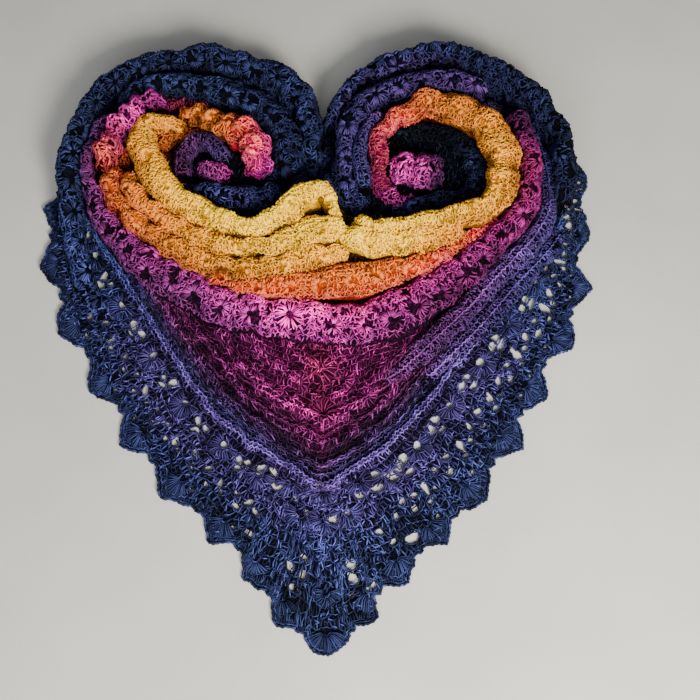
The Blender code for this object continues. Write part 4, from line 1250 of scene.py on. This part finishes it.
def inFan(points):
    flat = points[..., :2].reshape(-1, 2)
    found = np.zeros(len(flat), bool)
    for (_, _, first, last, _, inner, outer), eye, way in zip(fans, fanPlaces, fanWays):
        away = flat - eye
        far = np.hypot(away[:, 0], away[:, 1])
        turn = np.degrees(np.arctan2(way[0] * away[:, 1] - way[1] * away[:, 0], away @ way))
        found |= (far < outer) & (turn > first - 8) & (turn < last + 8) | (far < inner)
    return found.reshape(points.shape[:-1])


def raised(points, level):
    # points in plan with a height, on the soft relief of the lace
    points = np.asarray(points, float)[..., :2]
    height = np.maximum(laceRelief(points) + level, 0.9)
    return np.concatenate([wander(points), np.broadcast_to(height, points.shape[:-1])[..., None]], -1)


upwards = np.array([0.0, 0.0, 1.0])
print("lace set out:", len(holes), "holes,", len(fans), "fans")


def uncovered(points, most=6):
    # True where no fold and no inner layer stands higher than this
    return heightUnder(coverTree, points[:, 0], points[:, 1]) < most


def makeLaceCloth():
    # the thin cloth between the posts, painted near black as the shade between them, with the holes in it
    outRows, inRows, perRepeat = 24, 26, 16
    columns = np.linspace(lace["firstColumn"], lastColumn, (len(lace["rows"]) - 1) * perRepeat + 1)
    edge = 1 - lace["edgeWidth"] / lengthAt(columns, borderLengths)
    lines = [lacePoint(columns, edge * j / outRows) for j in range(outRows, 0, -1)]
    lines += [lacePoint(columns, -0.985 * j / inRows) for j in range(inRows + 1)]
    points = np.stack(lines, 1)
    distance = np.concatenate([
        np.linspace(1, 0, outRows + 1)[None, :-1] * (edge * lengthAt(columns, borderLengths))[:, None],
        -np.linspace(0, 1, inRows + 1)[None, :] * lengthAt(columns, bodyLengths)[:, None]], 1)
    n, m, _ = points.shape
    faces = gridFaces(n, m)
    flat = points.reshape(-1, 2)
    used, faces = np.unique(faces[inHole(flat[faces].mean(1), 0.92) > 1], return_inverse=True)
    flat = pushOut(flat, 0.0)
    height = np.maximum(laceRelief(flat) + lace["backing"], lace["lowest"])
    shade = laceShade(np.repeat(columns, m), distance.reshape(-1))
    piece = meshPiece("lace_cloth", np.column_stack([wander(flat), height])[used], faces.reshape(-1, 4),
                      shade[used], np.full(len(used), 1.0), darkBacking)
    dressCloth(piece, 1.0, "lace_panel")
    return piece


def glints(count):
    # most strands of the lace are dark and a few are bright
    return 0.2 + 3.0 * rng.uniform(0, 1, count) ** 3.0


def postsBetween(yarn, low, high, columns, distance):
    # upright stitches from one line of the lace to the next, by turns leaning left and right
    level = lace["yarnLevel"]
    middle = (low + high) / 2
    seen = (inHole(middle) > 0.85) & ~inFan(middle) & uncovered(middle, 7)
    seen &= laceTone(middle) > rng.uniform(0, 0.3, len(middle))
    low, high, columns, distance = low[seen], high[seen], columns[seen], distance[seen]
    if len(low) == 0:
        return
    up = unit(high - low)
    side = np.stack([-up[:, 1], up[:, 0]], 1) * alternate(len(low), 0.6)[:, None]
    low = pushOut(low - side + rng.normal(0, 0.35, low.shape), 0.3)
    high = pushOut(high + side + rng.normal(0, 0.35, low.shape), 0.3)
    middle = pushOut((low + high) / 2 + rng.normal(0, 0.35, low.shape), 0.4)
    bulge = level + 0.9 * rng.uniform(0.3, 1.4, len(low))
    paths = np.stack([raised(low, level - 0.5), raised(middle, bulge), raised(high, level - 0.2)], 1)
    yarn.strands(paths, upwards[None], 0.78 * rng.uniform(0.8, 1.15, (len(paths), 1)),
                 laceShade(columns, distance), laceTone(middle) * glints(len(paths)))


def chainAlong(yarn, line, shade, tone=1.1, level=lace["yarnLevel"] + 0.5, sway=0.5, thick=0.68,
               closed=False, avoidFans=True):
    # a plaited line of stitches, left out in the holes and under the folds
    line = line[:, :2]
    way = unit(np.gradient(line, axis=0))
    left = np.stack([-way[:, 1], way[:, 0]], 1)
    zigzag = alternate(len(line), 1.0)
    seen = np.ones(len(line), bool)
    if not closed:
        seen = (inHole(line) > 0.95) & insideEdge(line) & uncovered(line)
        if avoidFans:
            seen &= ~inFan(line)
        line = pushOut(line, 0.2)
    line = line + left * (zigzag * sway)[:, None]
    points = raised(line, level + 0.3 * zigzag)
    shade = np.broadcast_to(shade, len(line))
    tones = tone * laceTone(line) * (0.3 + 0.7 * glints(len(line)))
    for run in runsOf(seen):
        if len(run) > 2:
            yarn.strands(points[None, run], upwards[None], thick, shade[None, run], tones[None, run])


def oddLoops(yarn, count, lowShare, highShare):
    # loops lying every way over the rows, in clumps
    columns = rng.uniform(lace["firstColumn"], lastColumn, count)
    shares = rng.uniform(lowShare, highShare, count)
    middle = borderPoint(columns, shares) if highShare > 0 else lacePoint(columns, shares)
    free = (inHole(middle) > rng.uniform(0.5, 1.25, count)) & uncovered(middle)
    free &= laceTone(middle) > rng.uniform(0.1, 0.9, count)
    columns, shares, middle = columns[free], shares[free], middle[free]
    turn = rng.uniform(0, math.tau, len(middle))
    reach = rng.uniform(1.4, 3.0, (len(middle), 1)) * np.column_stack([np.cos(turn), np.sin(turn)])
    level = lace["yarnLevel"] + 0.6
    paths = np.stack([raised(middle - reach, level - 0.6), raised(middle, level + 0.9),
                      raised(middle + reach, level - 0.6)], 1)
    lengths = np.where(shares > 0, lengthAt(columns, borderLengths), lengthAt(columns, bodyLengths))
    yarn.strands(paths, upwards[None], 0.72, laceShade(columns, shares * lengths),
                 laceTone(middle) * (0.4 + glints(len(middle))))


laceRows = {
    "pitch": 2.4, "chainStep": 2.0, "ribStep": 2.1, "ringStep": 2.0,
    "border": 12, "outermost": 0.96,      # rows of the border, and the share where the last one ends
    "bodyRow": 5.9,
    "borderLoops": 3200, "bodyLoops": 2400,
}


def borderRows(yarn):
    count = laceRows["border"]
    for j in range(count):
        low, high = j / count * laceRows["outermost"], (j + 1) / count * laceRows["outermost"]
        columns = columnsAlong(lambda c: borderPoint(c, (low + high) / 2), lace["firstColumn"], lastColumn,
                               laceRows["pitch"])
        columns = columns + rng.normal(0, 0.018, len(columns))
        lean = rng.normal(0, 0.022, len(columns))
        postsBetween(yarn, borderPoint(columns + lean, low), borderPoint(columns, high), columns,
                     (low + high) / 2 * lengthAt(columns, borderLengths))
        if j > 0:
            columns = columnsAlong(lambda c: borderPoint(c, low), lace["firstColumn"], lastColumn,
                                   laceRows["chainStep"])
            chainAlong(yarn, borderPoint(columns, low),
                       laceShade(columns, low * lengthAt(columns, borderLengths)))


def laceFan(yarn, fan, eye, way):
    # spokes round an eye with an arc inside and outside; a spoke stops at the scalloped edge
    column, share, first, last, posts, inner, outer = fan
    left = np.array([-way[1], way[0]])

    def around(turns):
        return np.cos(turns)[:, None] * way + np.sin(turns)[:, None] * left

    turns = np.radians(np.linspace(first, last, posts) + rng.normal(0, 2.0, posts))
    spokes = around(turns)
    reach = outer * rng.uniform(0.92, 1.04, (posts, 1))
    for _ in range(6):
        reach = np.where(insideEdge(eye + spokes * (reach + 1.0))[:, None], reach, reach * 0.88)
    start, end = eye + spokes * inner, eye + spokes * reach
    reached = share * lengthAt(column, borderLengths) if share > 0 else share
    shade = laceShade(np.full(posts, column), reached + (end - eye) @ way)
    middle = (start + end) / 2
    free = (inHole(middle) > 0.9) & uncovered(middle)
    paths = np.stack([raised(start, 2.5), raised(start * 0.6 + end * 0.4, 4.2), raised(end, 3.1)], 1)
    radius = 0.82 * rng.uniform(0.85, 1.1, (free.sum(), 1))
    tone = (0.12 + 0.85 * laceTone(middle[free])) * rng.uniform(0.6, 1.6, free.sum())
    yarn.strands(paths[free], upwards[None], radius, shade[free], tone)
    # thinner strands between the spokes give every stitch its second leg
    spokes = around((turns[1:] + turns[:-1]) / 2)
    span = np.minimum(reach[1:], reach[:-1])
    start, end = eye + spokes * (inner + span) * 0.42, eye + spokes * span
    middle = (start + end) / 2
    free = (inHole(middle) > 0.9) & uncovered(end)
    paths = np.stack([raised(start, 2.2), raised(middle, 3.2), raised(end, 2.9)], 1)
    yarn.strands(paths[free], upwards[None], 0.6, shade[1:][free], 0.6 * laceTone(end[free]))
    for radius, tone in ((inner, 0.8), (outer, 1.2)):
        steps = max(6, int(math.radians(last - first) * radius / laceRows["chainStep"]))
        turns = np.radians(np.linspace(first - 6, last + 6, steps))
        chainAlong(yarn, eye + radius * around(turns),
                   laceShade(np.full(steps, column), reached + radius * np.cos(turns)), tone=tone,
                   avoidFans=False)


def holeRing(yarn, x, y, long, wide, turn):
    # a plaited ring round a hole
    angle = np.linspace(0, math.tau, max(9, int(math.pi * (long + wide) / laceRows["ringStep"])))
    out = rim(angle, x)
    a, b = (long * out + 0.5) * np.cos(angle), (wide * out + 0.5) * np.sin(angle)
    ring = np.column_stack([x + a * math.cos(turn) - b * math.sin(turn),
                            y + a * math.sin(turn) + b * math.cos(turn)])
    if not uncovered(np.array([[x, y]]), 5)[0]:
        return
    nearest = np.argmin(((ribLine - (x, y)) ** 2).sum(1))
    distance = math.hypot(*(ribLine[nearest] - (x, y)))
    chainAlong(yarn, ring, laceShade(ribColumns[nearest], distance), tone=0.85, closed=True,
               level=lace["yarnLevel"] + 0.4, sway=0.3, thick=0.75)


def makeBorderYarn():
    yarn = Yarn()
    borderRows(yarn)
    for fan, eye, way in zip(fans, fanPlaces, fanWays):
        laceFan(yarn, fan, eye, way)
    oddLoops(yarn, laceRows["borderLoops"], 0.0, 0.9)
    for hole in holes:
        holeRing(yarn, *hole)
    return yarnPiece("border_yarn", yarn)


# The scalloped edge. Chains: distance from the edge, how light, sway and half of the thickness.
# Posts: their distance from the edge at both ends.
edging = {
    "step": 2.0,
    "chains": [(1.0, 1.0, 0.35, 1.5), (3.1, 1.3, 0.5, 0.9), (5.4, 0.8, 0.5, 0.7)],
    "posts": [(2.2, 5.4), (5.2, 9.0)],
}


def makeEdging():
    yarn = Yarn()
    fine = np.linspace(lace["firstColumn"], lastColumn, 5000)
    line = evenly(np.column_stack([lacePoint(fine, 1.0), fine]), edging["step"])[0]
    line, columns = line[:, :2], line[:, 2]
    way = unit(np.gradient(line, axis=0))
    inward = np.stack([-way[:, 1], way[:, 0]], 1)
    shade = laceShade(columns, lengthAt(columns, borderLengths) + 8)
    for inset, tone, sway, thick in edging["chains"]:
        chainAlong(yarn, line + inward * inset, shade, tone=tone, sway=sway, thick=thick, avoidFans=False)
    for inset, reach in edging["posts"]:
        middle = raised(line + inward * (inset + reach) / 2, 3.1)
        paths = np.stack([raised(line + inward * reach, 2.3), middle, raised(line + inward * inset, 2.4)], 1)
        free = uncovered(middle) & (rng.uniform(0, 1, len(line)) > 0.12) & (inHole(middle) > 1)
        yarn.strands(paths[free], upwards[None], 0.72, shade[free],
                     laceTone(middle)[free] * rng.uniform(0.65, 1.25, free.sum()))
    return yarnPiece("edging_yarn", yarn)


# The rows of the body repeat in fives: the kind of row, and how light its chain is
bodyStyles = [("close", 1.25), ("open", 1.0), ("close", 1.25), ("mesh", 1.25), ("close", 1.0)]
bodyPitch = {"close": 1.0, "open": 1.9, "mesh": 1.3}          # times the pitch of the posts
ribChains = [(-1.8, 4.6), (1.6, 5.0)]                         # distance outwards and level
bodyChains = [(7.5, 1.8), (15, 2.1), (28, 1.8), (43, 1.4), (60, 1.3)]     # distance inwards, how light


def bodyRows(yarn):
    # rows in V form inside the rib, by turns close, open and meshed
    row = laceRows["bodyRow"]
    allColumns = np.linspace(lace["firstColumn"], lastColumn, 1600)
    for j in range(int(bodyLengths.max() // row) + 1):
        low, high = j * row, (j + 1) * row
        valid = allColumns[lengthAt(allColumns, bodyLengths) > high]
        if len(valid) < 10:
            break
        style, chainTone = bodyStyles[j % 5]
        columns = columnsAlong(lambda c: bodyPoint(c, (low + high) / 2), valid[0], valid[-1],
                               laceRows["pitch"] * bodyPitch[style])
        number = np.arange(len(columns))
        lean = alternate(len(columns), 0.035 if style == "mesh" else 0.0)
        lean = lean + rng.normal(0, 0.018, len(columns))
        shift = rng.normal(0, 0.012, len(columns))
        keep = (number % 9 != j % 5) | (style != "close")
        columns, lean, shift = columns[keep], lean[keep], shift[keep]
        postsBetween(yarn, bodyPoint(columns + shift - lean, low), bodyPoint(columns + shift + lean, high),
                     columns, np.full(len(columns), -(low + high) / 2))
        columns = columnsAlong(lambda c: bodyPoint(c, low), valid[0], valid[-1], laceRows["chainStep"])
        chainAlong(yarn, bodyPoint(columns, low), laceShade(columns, np.full(len(columns), -low)),
                   tone=chainTone)


def makeBodyYarn():
    yarn = Yarn()
    bodyRows(yarn)
    for offset, level in ribChains:
        columns = columnsAlong(lambda c: bodyPoint(c, 0), lace["firstColumn"] + 0.2, lastColumn - 0.2,
                               laceRows["ribStep"])
        line = lacePoint(columns, 0.0) + directionAt(columns, 0.0) * offset
        chainAlong(yarn, line, laceShade(columns, np.full(len(columns), 4.0)), tone=2.4, level=level,
                   sway=0.7, thick=1.15, avoidFans=False)
    for distance, tone in bodyChains:
        columns = columnsAlong(lambda c: bodyPoint(c, distance), -5.0, 5.0, laceRows["ribStep"])
        chainAlong(yarn, bodyPoint(columns, distance), laceShade(columns, np.full(len(columns), -distance)),
                   tone=tone, level=4.0, sway=0.6, thick=0.95, avoidFans=False)
    oddLoops(yarn, laceRows["bodyLoops"], -0.98, 0.0)
    return yarnPiece("body_yarn", yarn)


laceCloth = makeLaceCloth()
laceYarn = [makeBorderYarn(), makeEdging(), makeBodyYarn()]
print("lace made")


# The layers that don't show, seen only down in the coils and in the deepest creases

coils = [(-74, 150, 34), (104, 150, 44)]     # middle and reach of the two navy hollows
innerRows = {"step": 5.0, "rowStep": 6.4, "postStep": 3.0, "post": 6.0, "thick": 0.75}


def nearestShade(places):
    # the shade of the nearest fold, a little further along the cake
    found = []
    for start in range(0, len(places), 500):
        gap = ((places[start:start + 500, None, :] - crestPlaces[None, ::3, :]) ** 2).sum(-1)
        found.append(crestShades[::3][gap.argmin(1)])
    found = np.minimum(np.concatenate(found) + 0.05, 1)
    for x, y, reach in coils:
        found = np.where(np.hypot(places[:, 0] - x, places[:, 1] - y) < reach, 0.96, found)
    return found


def makeInnerCloth():
    x, y = np.meshgrid(np.arange(-232, 233, innerRows["step"]), np.arange(0, 262, innerRows["step"]),
                       indexing="ij")
    z = heightUnder(moundTree, x, y)
    z = np.where(z > 0, z + 0.35 + 0.8 * softNoise(x / 11, y / 11, 31), 0).reshape(-1)
    faces = gridFaces(*x.shape)[:, [0, 3, 2, 1]]
    used, faces = np.unique(faces[(z[faces] > 2).all(1)], return_inverse=True)
    points = np.column_stack([x.reshape(-1), y.reshape(-1), z])[used]
    # painted near black, as the shade down in the coils and the deepest creases
    piece = meshPiece("inner_layers", points, faces.reshape(-1, 4), nearestShade(points[:, :2]),
                      np.full(len(points), 1.0), darkBacking)
    dressCloth(piece, 1.2, "hidden_layers")
    return piece


def makeInnerYarn():
    # short posts painted dark as the shade down between the folds, only where no fold covers them
    yarn = Yarn()
    for y in np.arange(4, 258, innerRows["rowStep"]):
        x = np.arange(-228, 230, innerRows["postStep"])
        x, lie = x + rng.uniform(-1.5, 1.5, len(x)), rng.uniform(-0.9, 0.9, len(x))
        low = np.column_stack([x, y + rng.uniform(-2.5, 2.5, len(x))])
        high = low + innerRows["post"] * np.column_stack([np.sin(lie), np.cos(lie)])
        lowest = heightUnder(moundTree, low[:, 0], low[:, 1])
        highest = heightUnder(moundTree, high[:, 0], high[:, 1])
        free = (lowest > 6) & (highest > 6)
        for end in (low, high):
            free &= heightUnder(foldTree, end[:, 0], end[:, 1]) < 1
        if not free.any():
            continue
        low, high, lowest, highest = low[free], high[free], lowest[free], highest[free]
        paths = np.stack([np.column_stack([low, lowest + 0.8]),
                          np.column_stack([(low + high) / 2, (lowest + highest) / 2 + 2.0]),
                          np.column_stack([high, highest + 0.9])], 1)
        yarn.strands(paths, upwards[None], innerRows["thick"], nearestShade(low),
                     rng.uniform(0.12, 0.5, len(paths)))
    return yarnPiece("inner_layers_yarn", yarn)


innerCloth = makeInnerCloth()
innerStrands = makeInnerYarn()
print("inner layers made")


# Floor, light and camera. The camera stands where the photograph was taken from: over the corner of the
# shawl that points down, turned by two degrees.

def makeFloor():
    bpy.ops.mesh.primitive_plane_add(size=6)
    floor = bpy.context.object
    floor.name = "floor"
    floor.data.materials.append(floorSlab)


makeFloor()

# In pixels: the photograph's width, the lens, and the point where level lines that lead away would meet,
# counted from the middle
picture = {"width": 700, "focal": 900, "meet": (48, 3458)}
view = {
    "place": (20.0, -215.36, 770.3), "heading": -2.0, "sensor": 36,
    "tilt": math.atan(picture["focal"] / math.hypot(*picture["meet"])),
    "roll": math.atan2(*picture["meet"]),
}


def makeCamera():
    camera = bpy.data.objects.new("camera", bpy.data.cameras.new("camera"))
    bpy.context.scene.collection.objects.link(camera)
    camera.data.sensor_width = view["sensor"]
    camera.data.lens = picture["focal"] / picture["width"] * view["sensor"]
    level = Vector((1, 0, 0))
    upright = Vector((0, math.cos(view["tilt"]), math.sin(view["tilt"])))
    right = math.cos(view["roll"]) * level + math.sin(view["roll"]) * upright
    up = -math.sin(view["roll"]) * level + math.cos(view["roll"]) * upright
    back = right.cross(up)
    turned = Matrix.Rotation(math.radians(view["heading"]), 3, "Z") @ Matrix((right, up, back)).transposed()
    camera.matrix_world = Matrix.Translation(Vector(view["place"]) * mm) @ turned.to_4x4()
    bpy.context.scene.camera = camera


makeCamera()

lamps = {
    "key": {"at": (0.45, -0.75, 0.8), "size": 0.4, "power": 25, "colour": "fffaf0"},
    "fill": {"at": (-0.35, -0.95, 0.9), "size": 0.8, "power": 10, "colour": "fafaff"},
}
for name, lamp in lamps.items():
    light = bpy.data.lights.new(name, "AREA")
    light.size = lamp["size"]
    light.energy = lamp["power"]
    light.color = linear(lamp["colour"])[:3]
    holder = bpy.data.objects.new(name, light)
    holder.location = lamp["at"]
    holder.rotation_euler = (-Vector(lamp["at"])).to_track_quat("-Z", "Y").to_euler()
    bpy.context.scene.collection.objects.link(holder)
world = bpy.data.worlds.new("softRoom")
bpy.context.scene.world = world
world.use_nodes = True
world.node_tree.nodes["Background"].inputs["Color"].default_value = linear("e9ecf0")
world.node_tree.nodes["Background"].inputs["Strength"].default_value = 0.30
print("camera and lights set")
